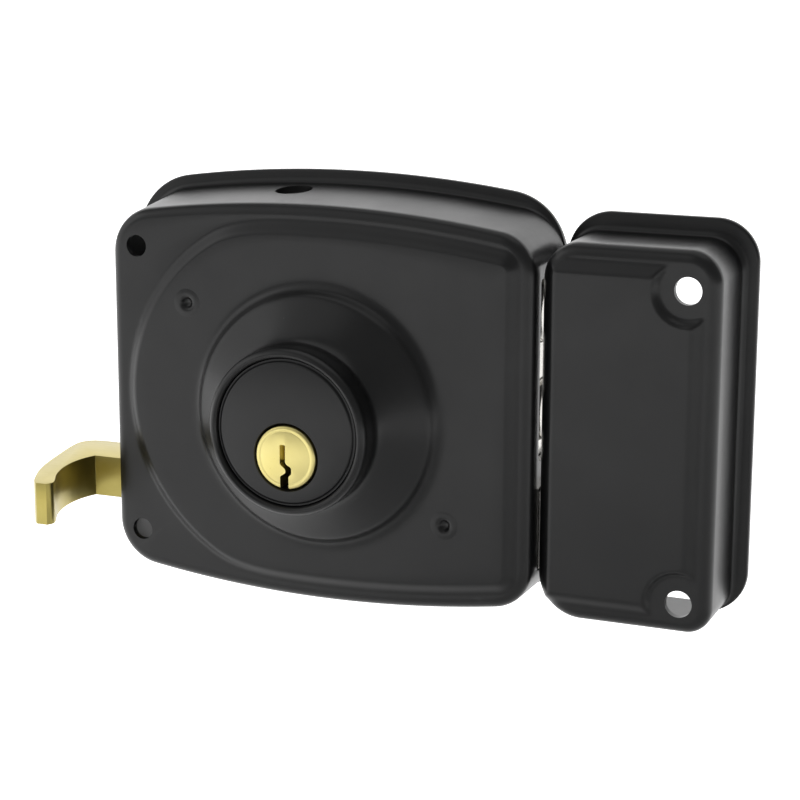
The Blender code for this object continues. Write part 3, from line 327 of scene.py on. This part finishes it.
def cut(piece, cutters):
    """Subtracts every cutter mesh from the piece."""
    combined = bmesh.new()
    for cutter in cutters:
        combined.from_mesh(cutter)
        bpy.data.meshes.remove(cutter)
    mesh = bpy.data.meshes.new("cutter")
    combined.to_mesh(mesh)
    combined.free()
    tool = bpy.data.objects.new("cutter", mesh)
    bpy.context.scene.collection.objects.link(tool)
    modifier = piece.modifiers.new("cut", "BOOLEAN")
    modifier.operation = "DIFFERENCE"
    modifier.object = tool
    modifier.solver = "EXACT"
    applied(piece)
    bpy.data.objects.remove(tool, do_unlink=True)
    bpy.data.meshes.remove(mesh)
    return piece


def turned_mesh(profile, base, direction, steps=64):
    """A mesh of (radius, height) points turned about direction through base, in millimetres."""
    heading = Vector(direction).normalized()
    side = heading.orthogonal().normalized()
    other = heading.cross(side)
    form = bmesh.new()
    rings = []
    for radius, height in profile:
        centre = Vector(base) + heading * height
        if radius < 1e-6:
            rings.append([form.verts.new(centre * MM)])
            continue
        rings.append([form.verts.new((centre + (side * cos(a) + other * sin(a)) * radius) * MM)
                      for a in (2 * pi * i / steps for i in range(steps))])
    pairs = list(zip(rings, rings[1:]))
    if len(rings[0]) > 1 and len(rings[-1]) > 1:
        pairs.append((rings[-1], rings[0]))
    for first, second in pairs:
        for i in range(steps):
            j = (i + 1) % steps
            corners = [first[i % len(first)], first[j % len(first)],
                       second[j % len(second)], second[i % len(second)]]
            form.faces.new(list(dict.fromkeys(corners)))
    bmesh.ops.recalc_face_normals(form, faces=form.faces)
    mesh = bpy.data.meshes.new("turned")
    form.to_mesh(mesh)
    form.free()
    return mesh


def drill_mesh(radius, depth, base, direction, steps):
    """A round cutter that goes from base to a depth along direction."""
    return turned_mesh([(0, 0), (radius, 0), (radius, depth), (0, depth)], base, direction, steps)


def box_mesh(low, high):
    form = bmesh.new()
    bmesh.ops.create_cube(form, size=1.0)
    low, high = Vector(low) * MM, Vector(high) * MM
    bmesh.ops.scale(form, vec=high - low, verts=form.verts)
    bmesh.ops.translate(form, vec=(high + low) / 2, verts=form.verts)
    mesh = bpy.data.meshes.new("box")
    form.to_mesh(mesh)
    form.free()
    return mesh


def rounded_box_mesh(low, high, radius, segments=3):
    mesh = box_mesh(low, high)
    form = bmesh.new()
    form.from_mesh(mesh)
    bmesh.ops.bevel(form, geom=form.edges[:], offset=radius * MM, segments=segments, profile=0.5,
                    affect="EDGES")
    form.to_mesh(mesh)
    form.free()
    return mesh


def prism_mesh(outline, low, high, along):
    """An outline of (across, up) points between low and high along Y or Z."""
    form = bmesh.new()
    rings = []
    for level in (low, high):
        points = [(a, level, b) if along == "Y" else (a, b, level) for a, b in outline]
        rings.append([form.verts.new(Vector(point) * MM) for point in points])
    count = len(outline)
    for i in range(count):
        j = (i + 1) % count
        form.faces.new((rings[0][i], rings[0][j], rings[1][j], rings[1][i]))
    form.faces.new(rings[0])
    form.faces.new(rings[1])
    bmesh.ops.recalc_face_normals(form, faces=form.faces)
    mesh = bpy.data.meshes.new("prism")
    form.to_mesh(mesh)
    form.free()
    return mesh


def smooth_line(points, rounds=2):
    """Chaikin's corner cutting of an open line, with its ends kept."""
    for _ in range(rounds):
        cut_points = [points[0]]
        for (ax, ay), (bx, by) in zip(points, points[1:]):
            cut_points.append((0.75 * ax + 0.25 * bx, 0.75 * ay + 0.25 * by))
            cut_points.append((0.25 * ax + 0.75 * bx, 0.25 * ay + 0.75 * by))
        cut_points.append(points[-1])
        points = cut_points
    return points


def ease(value):
    value = np.clip(value, 0.0, 1.0)
    return value * value * (3 - 2 * value)


# ---------------------------------------------------------------- case

def arched_inset(x, z, left, right, arch, corner_left, corner_right):
    """How far points lie inside an outline with straight sides and an arched top, mirrored below."""
    z = np.abs(z)
    inset = np.minimum(np.minimum(x - left, right - x), arch - np.hypot(x - MIDDLE, z + DROP))
    for side, edge, corner in ((1, right, corner_right), (-1, left, corner_left)):
        centre_x = edge - side * corner
        reach = arch - corner
        centre_z = sqrt(reach ** 2 - (centre_x - MIDDLE) ** 2) - DROP
        lean, rise = side * (centre_x - MIDDLE) / reach, (centre_z + DROP) / reach
        out, up = side * (x - centre_x), z - centre_z
        sector = (up > 0) & (out * rise - up * lean > 0)
        inset = np.where(sector, corner - np.hypot(out, up), inset)
    return inset


def case_inset(x, z):
    return arched_inset(x, z, LEFT, RIGHT, ARCH, CORNER_LEFT, CORNER_RIGHT)


def spread_inset(x, z, spread):
    """How far points lie inside the outline spread at the top and left, and less at the bottom."""
    halves = [arched_inset(x, z, LEFT - spread, RIGHT, ARCH + rise, CORNER_LEFT + rise, CORNER_RIGHT + rise)
              for rise in (spread, LOWER_SHARE * spread)]
    return np.where(z > 0, halves[0], halves[1])


def foot_inset(x, z):
    return spread_inset(x, z, DRAFT)


def rim_inset(x, z):
    return spread_inset(x, z, DRAFT + RIM)


def smooth_least(first, second, soft):
    """The smaller of two values, with the change between them rounded over."""
    mix = np.clip(0.5 + 0.5 * (second - first) / soft, 0.0, 1.0)
    return second * (1 - mix) + first * mix - soft * mix * (1 - mix)


def panel_inset(x, z):
    """How far points lie inside the panel's foot."""
    z = np.abs(z)
    arch = PANEL_ARCH - np.hypot(x - MIDDLE, z + DROP)
    round_end = PANEL_ARC - np.hypot(np.minimum(x - PANEL_ARC_X, 0.0), z)
    inset = np.minimum(smooth_least(round_end, arch, PANEL_BLEND), PANEL_RIGHT - x)
    centre_x = PANEL_RIGHT - PANEL_CORNER
    reach = PANEL_ARCH - PANEL_CORNER
    centre_z = sqrt(reach ** 2 - (centre_x - MIDDLE) ** 2) - DROP
    lean, rise = (centre_x - MIDDLE) / reach, (centre_z + DROP) / reach
    out, up = x - centre_x, z - centre_z
    sector = (up > 0) & (out * rise - up * lean > 0)
    return np.where(sector, PANEL_CORNER - np.hypot(out, up), inset)


def case_front(x, z, depth):
    """The front's y, on the sheet's outer face (depth 0) or inner face (depth SHEET)."""
    bend = BEND - depth
    inside = np.clip(case_inset(x, z) - depth, 0.0, bend)
    fall = bend - np.sqrt(np.clip(bend ** 2 - (bend - inside) ** 2, 0.0, None))
    raised = RAISE * ease((panel_inset(x, z) - INNER_SHRINK * depth) / SLOPE)
    return FRONT + depth + fall - raised


def make_case():
    count = 432
    angles = np.arange(count) * 2 * pi / count
    along_x, along_z = np.cos(angles), np.sin(angles)

    def at(radius):
        return BOSS_X + radius * along_x, BOSS_Z + radius * along_z

    def reach(inset, value):
        """The radius at which the inset has a value, in every direction."""
        low, high = np.full(count, 10.0), np.full(count, 90.0)
        for _ in range(40):
            middle = (low + high) / 2
            inside = inset(*at(middle)) > value
            low, high = np.where(inside, middle, low), np.where(inside, high, middle)
        return (low + high) / 2

    def ring(radius, y):
        x, z = at(radius)
        return np.column_stack((x, np.broadcast_to(y, (count,)), z))

    def front_ring(radius, depth):
        x, z = at(radius)
        return np.column_stack((x, case_front(x, z, depth), z))

    def front_rings(depth, start, slope_steps, bend_steps):
        """Rings from the boss's foot out to the case's wall on one face of the sheet."""
        bend = BEND - depth
        crest = reach(panel_inset, SLOPE + INNER_SHRINK * depth)
        bend_start = reach(case_inset, BEND)
        foot = np.minimum(reach(panel_inset, INNER_SHRINK * depth), bend_start - 0.4)
        crest = np.minimum(crest, foot - 0.8)
        rings = [front_ring(start + (crest - start) * t, depth) for t in (0.0, 0.25, 0.5, 0.75)]
        rings += [front_ring(crest + (foot - crest) * t / slope_steps, depth) for t in range(slope_steps + 1)]
        rings += [front_ring(foot + (bend_start - foot) * t, depth) for t in (0.35, 0.7)]
        for step in range(bend_steps + 1):
            turn = pi / 2 * (1 - step / bend_steps)
            rings.append(front_ring(reach(case_inset, depth + bend * (1 - cos(turn))), depth))
        return rings

    boss = [(BOSS_BORE, 12.0), (BOSS_BORE, 15.9), (14.86, 16.25), (15.05, 16.6), (15.35, 16.88),
            (15.7, 16.92), (16.15, 16.66), (16.55, 16.2), (16.78, 15.5), (16.78, 14.4), (16.65, 12.6),
            (16.55, 11.2), (16.65, 10.3), (17.1, 9.5), (18.1, 8.5), (20.3, 6.9), (22.4, 5.5), (24.0, 4.5),
            (24.8, 3.9), (25.3, 3.1), (25.8, 2.3), (26.5, 1.75), (27.4, 1.53), (28.6, RAISE)]
    outer = [ring(radius, FRONT - height) for radius, height in smooth_line(boss, 1)]
    outer += front_rings(0.0, BOSS_FOOT, 10, 7)

    def wall_ring(front_edge, foot, y):
        """A ring of the leaning wall, between its edge under the front's bend and its foot over the cove."""
        share = (y - FRONT - BEND) / (-SHEET - COVE - FRONT - BEND)
        return ring(front_edge + (foot - front_edge) * share, y)

    edge = reach(case_inset, 0.0)
    wall = reach(foot_inset, 0.0)
    rim = np.maximum(reach(rim_inset, 0.0), wall + 0.02)
    width = rim - wall
    cove = np.minimum(COVE, 0.8 * width)
    outer += [wall_ring(edge, wall, y) for y in (-16.0, -12.0, -8.0, -5.0)]
    for step in range(7):
        turn = pi / 2 * step / 6
        outer.append(ring(wall + cove * (1 - cos(turn)), -SHEET - cove * (1 - sin(turn))))
    round_edge = np.minimum(LIP, 0.45 * width)
    outer.append(ring(rim - round_edge, -SHEET))
    for step in range(1, 6):
        turn = pi / 2 * step / 5
        outer.append(ring(rim - round_edge * (1 - sin(turn)), -SHEET + LIP * (1 - cos(turn))))
    outer.append(ring(rim, -BACK_CHAMFER))
    outer.append(ring(rim - 0.2 * np.minimum(1.0, width), 0.0))

    inner_edge, inside = reach(case_inset, SHEET), reach(foot_inset, SHEET)
    inner = [ring(inside + BACK_CHAMFER, 0.0), ring(inside, -BACK_CHAMFER)]
    inner += [wall_ring(inner_edge, inside, y) for y in (-5.0, -12.0, -16.0)]
    inner += list(reversed(front_rings(SHEET, BOSS_FOOT, 5, 4)))
    hollow = [(BOSS_BORE, 9.9), (14.9, 9.2), (15.6, 8.3), (17.6, 6.9), (20.0, 5.2), (22.6, 3.5), (24.0, 2.4),
              (24.6, 1.4), (25.2, 0.5), (26.4, 0.12), (28.6, 0.1)]
    inner += [ring(radius, FRONT - height) for radius, height in reversed(hollow)]
    case = make_object("case_shell", ring_mesh("case_shell", outer + inner, True), "black_paint")

    cutters = []
    for side in (-1, 1):
        screw = (DOOR_SCREW["x"], -24.0, side * DOOR_SCREW["z"])
        cutters.append(drill_mesh(DOOR_SCREW["radius"], 8, screw, (0, 1, 0), 40))
        hole = (WALL_HOLE["x"], WALL_HOLE["y"], side * (HALF - 4.0))
        cutters.append(drill_mesh(WALL_HOLE["radius"], 8, hole, (0, 0, side), 48))
    for _, x, z in STUDS:
        cutters.append(drill_mesh(STUD_HOLE, 8, (x, -26.0, z), (0, 1, 0), 32))
    cutters.append(rounded_box_mesh(*BOLT_WINDOW, 1.0))
    cutters.append(rounded_box_mesh(*LATCH_WINDOW, 0.8))
    cutters.append(rounded_box_mesh(*HOOK_WINDOW, 0.8))
    cut(case, cutters)
    finish_piece(case, "case", "black_paint", "case_cover")


# ---------------------------------------------------------------- keeper

def keeper_panel(x, z):
    """The share of the slope climbed on to the panel, which steps back round the screw holes."""
    inset = np.minimum(x - KEEPER_LEFT - KEEPER_PANEL_LEFT, KEEPER_RIGHT - KEEPER_PANEL_RIGHT - x)
    inset = np.minimum(inset, KEEPER_HALF - KEEPER_PANEL_END - np.abs(z - KEEPER_Z)) / KEEPER_SLOPE
    for hole_z in KEEPER_HOLES:
        beside = (np.hypot(x - KEEPER_HOLE_X, z - hole_z) - POCKET) / POCKET_SLOPE
        inset = smooth_least(inset, beside, POCKET_BLEND)
    return inset


def keeper_raised(x, z, depth):
    return KEEPER_RAISE * ease(keeper_panel(x, z) - KEEPER_INNER_SHRINK * depth)


def make_keeper():
    across, up = 84, 184
    half_x = (KEEPER_RIGHT - KEEPER_LEFT) / 2 - KEEPER_BEND
    half_z = KEEPER_HALF - KEEPER_BEND

    def corner_at(x, z):
        """The radius of the flat front's corner on this side of the middle."""
        return KEEPER_CORNERS[1 if x > 0 else -1, 1 if z > 0 else -1] - KEEPER_BEND

    def grid_point(i, j):
        """A grid point of the flat front, with the grid's corners drawn in to round ones."""
        x = half_x * (2 * i / across - 1)
        z = half_z * (2 * j / up - 1)
        corner = corner_at(x, z)
        u = (abs(x) - (half_x - corner)) / corner
        v = (abs(z) - (half_z - corner)) / corner
        if u > 0 and v > 0:
            sign_x, sign_z = (1 if x > 0 else -1), (1 if z > 0 else -1)
            x = sign_x * (half_x - corner + corner * u * sqrt(1 - v * v / 2))
            z = sign_z * (half_z - corner + corner * v * sqrt(1 - u * u / 2))
        return x, z

    border = ([(i, 0) for i in range(across)] + [(across, j) for j in range(up)]
              + [(i, up) for i in range(across, 0, -1)] + [(0, j) for j in range(up, 0, -1)])

    def outline(left, right, low, high, radii):
        """The outline's points that answer to the border's, side by side and corner by corner."""
        middle_x, middle_z = (left + right) / 2, (low + high) / 2
        points = []
        for i, j in border:
            x, z = grid_point(i, j)
            corner = corner_at(x, z)
            radius = radii[1 if x > 0 else -1, 1 if z > 0 else -1]
            reach_x, reach_z = (right - left) / 2 - radius, (high - low) / 2 - radius
            out_x, out_z = abs(x) - (half_x - corner), abs(z) - (half_z - corner)
            if out_x > 0 and out_z > 0:
                turn = atan2(out_z, out_x)
                px, pz = reach_x + radius * cos(turn), reach_z + radius * sin(turn)
            elif out_x > 0:
                px, pz = reach_x + radius, reach_z * abs(z) / (half_z - corner)
            else:
                px, pz = reach_x * abs(x) / (half_x - corner), reach_z + radius
            points.append((middle_x + (px if x > 0 else -px), middle_z + (pz if z > 0 else -pz)))
        return np.array(points)

    def inset_outline(inset):
        radii = {place: radius - inset for place, radius in KEEPER_CORNERS.items()}
        return outline(KEEPER_LEFT + inset, KEEPER_RIGHT - inset, KEEPER_Z - KEEPER_HALF + inset,
                       KEEPER_Z + KEEPER_HALF - inset, radii)

    def with_y(points, y):
        return np.column_stack((points[:, 0], np.broadcast_to(y, (len(points),)), points[:, 1]))

    def shell_rings(depth, steps):
        """Rings round the bend, from the front's border to the wall."""
        rings = []
        bend = KEEPER_BEND - depth
        for step in range(1, steps + 1):
            turn = pi / 2 * (1 - step / steps)
            points = inset_outline(depth + bend * (1 - cos(turn)))
            raised = keeper_raised(points[:, 0], points[:, 1], depth)
            rings.append(with_y(points, KEEPER_FRONT + depth + bend * (1 - sin(turn)) - raised))
        return rings

    wall = inset_outline(0.0)
    rim = outline(KEEPER_LEFT, KEEPER_RIGHT + KEEPER_RIM_RIGHT, KEEPER_Z - KEEPER_HALF - KEEPER_RIM_BOTTOM,
                  KEEPER_Z + KEEPER_HALF + KEEPER_RIM_TOP, KEEPER_RIM_CORNERS)
    width = np.hypot(*(rim - wall).T)[:, None]
    heading = (rim - wall) / np.maximum(width, 1e-6)
    cove = np.minimum(COVE, 0.6 * width)
    rings = shell_rings(0.0, 7)
    rings += [with_y(wall, y) for y in (-12.0, -8.0, -5.0)]
    for step in range(7):
        turn = pi / 2 * step / 6
        points = wall + heading * cove * (1 - cos(turn))
        rings.append(with_y(points, (-SHEET - cove * (1 - sin(turn)))[:, 0]))
    edge = np.minimum(LIP, 0.3 * width)
    for step in range(6):
        turn = pi / 2 * step / 5
        rings.append(with_y(rim - heading * edge * (1 - sin(turn)), -SHEET + LIP * (1 - cos(turn))))
    rings.append(with_y(rim, -BACK_CHAMFER))
    rings.append(with_y(rim - heading * 0.4 * edge, 0.0))
    inside = inset_outline(SHEET)
    rings += [with_y(inset_outline(SHEET - BACK_CHAMFER), 0.0)]
    rings += [with_y(inside, y) for y in (-BACK_CHAMFER, -6.0, -12.0)]
    rings += list(reversed(shell_rings(SHEET, 3)))

    verts, faces = [], []

    def add_grid(depth, flip):
        """Adds one face of the front as a grid and returns its border's vertices."""
        index = {}
        for i in range(across + 1):
            for j in range(up + 1):
                x, z = grid_point(i, j)
                x, z = x + KEEPER_MIDDLE, z + KEEPER_Z
                index[i, j] = len(verts)
                verts.append((x, KEEPER_FRONT + depth - keeper_raised(x, z, depth), z))
        for i in range(across):
            for j in range(up):
                face = (index[i, j], index[i + 1, j], index[i + 1, j + 1], index[i, j + 1])
                faces.append(tuple(reversed(face)) if flip else face)
        return [index[point] for point in border]

    previous = add_grid(0.0, False)
    last = add_grid(SHEET, True)
    loops = []
    for ring_points in rings:
        loops.append(list(range(len(verts), len(verts) + len(border))))
        verts.extend(map(tuple, ring_points))
    loops.append(last)
    for loop in loops:
        for k in range(len(border)):
            m = (k + 1) % len(border)
            faces.append((previous[k], previous[m], loop[m], loop[k]))
        previous = loop
    mesh = bpy.data.meshes.new("keeper_shell")
    mesh.from_pydata((np.array(verts) * MM).tolist(), [], faces)
    recalculate(mesh)
    keeper = make_object("keeper_shell", mesh, "black_paint")
    cutters = [rounded_box_mesh(*KEEPER_MOUTH, 1.2)]
    for hole_z in KEEPER_HOLES:
        cutters.append(drill_mesh(KEEPER_HOLE_R, 9, (KEEPER_HOLE_X, -22.0, hole_z), (0, 1, 0), 56))
    cut(keeper, cutters)
    finish_piece(keeper, "keeper", "black_paint", "keeper_box")


# ---------------------------------------------------------------- cylinder and studs

def make_cylinder():
    profile = [(0.0, 37.8), (13.75, 37.8), (13.95, 37.75), (14.1, 37.62), (14.2, 37.48), (14.35, 37.4),
               (14.6, 37.4), (14.7, 37.3), (14.7, 36.0), (14.5, 35.6), (14.5, 28.4), (16.2, 28.0),
               (16.2, 26.6), (14.5, 26.6), (14.5, 18.4), (12.5, 18.4), (12.5, PLUG_REAR), (0.0, PLUG_REAR)]
    barrel = turned_mesh(profile, (BOSS_X, 0, BOSS_Z), (0, -1, 0), 96)
    body = make_object("cylinder_barrel", barrel, "black_paint")
    bore = [(0, 45), (7.0, 45), (7.0, 37.95), (6.65, 37.5), (6.65, 5), (0, 5)]
    cutters = [turned_mesh(bore, (BOSS_X, 0, PLUG_Z), (0, -1, 0), 72),
               box_mesh((BOSS_X - 2.4, -36.7, 11.1), (BOSS_X + 2.4, -18.0, 20.0))]
    cutters += [drill_mesh(CHAMBER_R, 22, (BOSS_X, y, PLUG_Z), (0, 0, 1), 24) for y in CHAMBERS]
    cut(body, cutters)
    finish_piece(body, "case", "black_paint", "cylinder_body")


def make_plug():
    profile = [(0.0, 38.1), (5.1, 38.1), (5.2, 38.07), (5.3, 38.06), (5.4, 38.07), (5.5, 38.1), (5.95, 38.08),
               (6.22, 37.95), (PLUG_R, 37.7), (PLUG_R, PLUG_REAR), (0.0, PLUG_REAR)]
    plug = make_object("plug", turned_mesh(profile, (BOSS_X, 0, PLUG_Z), (0, -1, 0), 96), "brass")
    plug.data.materials.clear()
    plug.data.materials.append(plug_brass)
    keyway = [(-1.15, 2.4), (-0.95, 2.55), (-0.2, 2.55), (0.0, 2.4), (0.0, -0.9), (0.25, -1.35),
              (1.05, -1.75), (1.3, -2.1), (1.3, -3.1), (1.1, -3.4), (0.75, -3.7), (0.7, -3.9), (0.7, -7.4),
              (-1.1, -7.4), (-1.1, -4.0), (-0.95, -3.7), (-0.1, -3.15), (0.05, -2.9), (0.0, -2.45),
              (-0.2, -2.15), (-0.9, -1.6), (-1.15, -1.2)]
    cutters = [prism_mesh([(BOSS_X + a, PLUG_Z + b) for a, b in keyway], -42.0, -11.0, "Y")]
    cutters += [drill_mesh(CHAMBER_R, 9, (BOSS_X, y, PLUG_Z - 1.0), (0, 0, 1), 24) for y in CHAMBERS]
    cutters += [drill_mesh(1.1, 8, (BOSS_X + offset, -17.5, PLUG_Z), (0, 1, 0), 24) for offset in (-3.6, 3.6)]
    cut(plug, cutters)
    finish_piece(plug, "plug", "brass", "cylinder_plug")


def make_studs():
    """Staked stud ends: low mounds in the panel's face with a centre-punch dimple."""
    face = -FRONT + RAISE
    profile = [(0.0, face - 0.80), (0.55, face - 0.74), (0.95, face - 0.42), (1.2, face - 0.06),
               (1.5, face + 0.08), (1.95, face + 0.11), (2.35, face + 0.07), (2.7, face + 0.03),
               (2.9, face + 0.005), (2.9, face - 0.1), (1.4, face - 0.1), (1.4, 21.3), (1.95, 21.3),
               (1.95, 18.4), (0.0, 18.4)]
    for name, x, z in STUDS:
        stud = make_object("stud_" + name, turned_mesh(profile, (x, 0, z), (0, -1, 0), 48), "black_paint")
        cut(stud, [drill_mesh(1.1, 8, (x, -20.8, z), (0, 1, 0), 24)])
        finish_piece(stud, "case", "black_paint", "yoke_stud_" + name)


# ---------------------------------------------------------------- bolts and hook

def make_deadbolts():
    profile = [(0.0, 30.1), (4.9, 30.1), (5.35, 30.03), (5.72, 29.8), (5.97, 29.45), (6.1, 29.0), (6.1, 4.9),
               (1.9, 4.9), (1.9, 1.3), (2.7, 1.3), (2.7, 0.4), (2.3, 0.0), (0.0, 0.0)]
    for name, z in DEADBOLTS:
        turned = turned_mesh(profile, (DEADBOLT_X, DEADBOLT_Y, z), (1, 0, 0), 72)
        pin = make_object("bolt_pin_" + name, turned, "nickel")
        finish_piece(pin, "deadbolt", "nickel", "deadbolt_pin_" + name)


def bevelled_prism(name, outline, low, high, slot, width, segments=3, angle=30):
    piece = make_object(name, prism_mesh(outline, low, high, "Z"), slot)
    bevel = piece.modifiers.new("edges", "BEVEL")
    bevel.width = width * MM
    bevel.segments = segments
    bevel.limit_method = "ANGLE"
    bevel.angle_limit = radians(angle)
    return applied(piece)


def bar_end_cutters(left, right, rivet_x):
    """The slot that the latch bar's end goes into, and the hole for its rivet."""
    rear, front = BAR_SLOT_Y
    slot = box_mesh((left, rear, LATCH_Z - BAR_SLOT_HALF), (right, front, LATCH_Z + BAR_SLOT_HALF))
    return [slot, drill_mesh(RIVET_HOLE, 30, (rivet_x, -24.0, LATCH_Z), (0, 1, 0), 24)]


def make_latch():
    nose = [(62.0, -15.6), (97.65, -15.6), (97.65, -13.5), (87.45, -5.0), (62.0, -5.0)]
    low, high = LATCH_Z - LATCH_HALF, LATCH_Z + LATCH_HALF
    latch = bevelled_prism("latch_nose", nose, low, high, "nickel", 0.55, 4, 20)
    stud_relief = box_mesh((60.0, -18.0, -24.4), (84.0, -14.7, -18.0))
    cut(latch, [stud_relief, *bar_end_cutters(60.0, 70.0, 66.0)])
    finish_piece(latch, "latch", "nickel", "latch_bolt")


def make_hook():
    outer = [(-16.0, -1.8), (-20.4, -1.8), (-22.9, -2.5), (-24.3, -4.2), (-24.6, -6.6), (-24.1, -10.8),
             (-23.1, -16.6), (-22.0, -22.8), (-20.4, -28.8), (-18.3, -33.7), (-16.9, -36.6), (-15.6, -37.9)]
    inner = [(-13.2, -37.9), (-12.4, -36.6), (-13.0, -34.6), (-14.9, -31.2), (-16.4, -27.0), (-17.1, -22.8),
             (-17.1, -19.4), (-16.6, -16.6), (-15.9, -14.6), (-15.5, -13.8)]
    outline = [(14.0, -1.8)] + smooth_line(outer, 2) + smooth_line(inner, 2) + [(14.0, -13.5)]
    hook = bevelled_prism("hook", outline, LATCH_Z - HOOK_HALF, LATCH_Z + HOOK_HALF, "brass", 0.42, 3, 60)
    ring_mark = [(1.35, 0.0), (1.35, 1.0), (1.75, 1.0), (1.75, 0.0)]
    mark = turned_mesh(ring_mark, (-7.6, -6.6, LATCH_Z + HOOK_HALF - 0.13), (0, 0, 1), 40)
    slot, rivet_hole = bar_end_cutters(4.7, 16.0, 9.0)
    cut(hook, [slot, mark, rivet_hole])
    finish_piece(hook, "latch", "brass", "pull_hook", angle=32)


# ---------------------------------------------------------------- carried-over nodes

def finish_nodes():
    """Every CAD node gets its slot's material, and the sheet and cut ones get softened edges."""
    slots = {part["node"]: part["material_slot"] for part in frame["record"]["subparts"]}
    for name, node in frame["nodes"].items():
        node.data.materials.clear()
        node.data.materials.append(materials[slots[name]])
    for name in ("bolt_guide", "back_plate", "bolt_carriage", "tail_cam", "cylinder_yoke", "spring_bracket"):
        bevel = frame["nodes"][name].modifiers.new("edges", "BEVEL")
        bevel.width = 0.15 * MM
        bevel.segments = 2
        bevel.limit_method = "ANGLE"
        bevel.angle_limit = radians(50)


# ---------------------------------------------------------------- stage, light and camera

def make_stage():
    floor_z = -160.0
    back_y, sweep, side = 1700.0, 500.0, 4000.0
    material, nodes, links, shader = new_material("stage_white")
    tone = ramp(nodes, links, noise(nodes, links, 3.0, 2.0), [(0.3, 0.76), (0.7, 0.80)])
    links.new(tone, shader.inputs["Base Color"])
    shader.inputs["Roughness"].default_value = 0.8
    shader.inputs["Specular IOR Level"].default_value = 0.0
    # The floor glows and lights the lock like a lamp. A painted shadow dims that glow to a dark patch at the
    # front right, near the lock, which its right-facing slopes reflect.
    shader.inputs["Emission Color"].default_value = (1.0, 1.0, 1.0, 1.0)
    shadow_patch_distance = nodes.new("ShaderNodeVectorMath")
    shadow_patch_distance.operation = "DISTANCE"
    shadow_patch_distance.inputs[1].default_value = (0.25, -0.28, floor_z * MM)
    links.new(nodes.new("ShaderNodeTexCoord").outputs["Object"], shadow_patch_distance.inputs[0])
    glow_and_painted_shadow = ramp(nodes, links, shadow_patch_distance.outputs["Value"], [(0.27, 0.10), (0.47, 1.0)])
    links.new(glow_and_painted_shadow, shader.inputs["Emission Strength"])
    path = [(-3500.0, floor_z), (back_y, floor_z)]
    path += [(back_y + sweep * sin(turn), floor_z + sweep * (1 - cos(turn)))
             for turn in (pi / 2 * i / 12 for i in range(1, 13))]
    path.append((back_y + sweep, 3200.0))
    verts = [(x * MM, y * MM, z * MM) for y, z in path for x in (-side, side)]
    faces = [(2 * i, 2 * i + 1, 2 * i + 3, 2 * i + 2) for i in range(len(path) - 1)]
    mesh = bpy.data.meshes.new("floor")
    mesh.from_pydata(verts, [], faces)
    mesh.shade_smooth()
    mesh.materials.append(material)
    floor = bpy.data.objects.new("floor", mesh)
    bpy.context.scene.collection.objects.link(floor)


def add_area(name, location, target, size, power):
    light = bpy.data.lights.new(name, "AREA")
    light.shape = "RECTANGLE"
    light.size, light.size_y = size
    light.energy = power
    lamp = bpy.data.objects.new(name, light)
    lamp.location = location
    lamp.rotation_euler = (Vector(target) - Vector(location)).to_track_quat("-Z", "Y").to_euler()
    bpy.context.scene.collection.objects.link(lamp)


def make_light():
    world = bpy.data.worlds.new("studio")
    bpy.context.scene.world = world
    world.use_nodes = True
    background = world.node_tree.nodes["Background"]
    background.inputs["Color"].default_value = (1.0, 1.0, 1.0, 1.0)
    background.inputs["Strength"].default_value = 0.25
    target = (0.05, -0.01, 0.0)
    add_area("key", (-0.65, -0.80, 0.75), target, (1.3, 1.3), 2.2)
    add_area("left", (-1.15, -0.35, 0.35), target, (1.2, 1.2), 3.0)
    add_area("top", (0.10, 0.10, 1.10), target, (1.2, 0.8), 1.5)


def make_camera():
    yaw, pitch, roll = radians(22.06), radians(12.77), radians(0.21)
    distance = 0.4323
    back = Vector((sin(yaw) * cos(pitch), -cos(yaw) * cos(pitch), sin(pitch)))
    right = Vector((cos(yaw), sin(yaw), 0.0))
    up = back.cross(right)
    turn = Matrix((right, up, back)).transposed() @ Matrix.Rotation(roll, 3, "Z")
    target = Vector((0.0592, -0.0215, 0.0072))
    data = bpy.data.cameras.new("camera")
    data.lens = 98.82
    data.sensor_width = 36.0
    data.shift_x = -0.0051
    data.shift_y = -0.025
    data.clip_start = 0.01
    camera = bpy.data.objects.new("camera", data)
    camera.matrix_world = Matrix.Translation(target + back * distance) @ turn.to_4x4()
    bpy.context.scene.collection.objects.link(camera)
    bpy.context.scene.camera = camera


make_camera()
make_case()
make_keeper()
make_cylinder()
make_plug()
make_studs()
make_deadbolts()
make_latch()
make_hook()
finish_nodes()
make_stage()
make_light()
bpy.context.scene.view_settings.view_transform = "Standard"
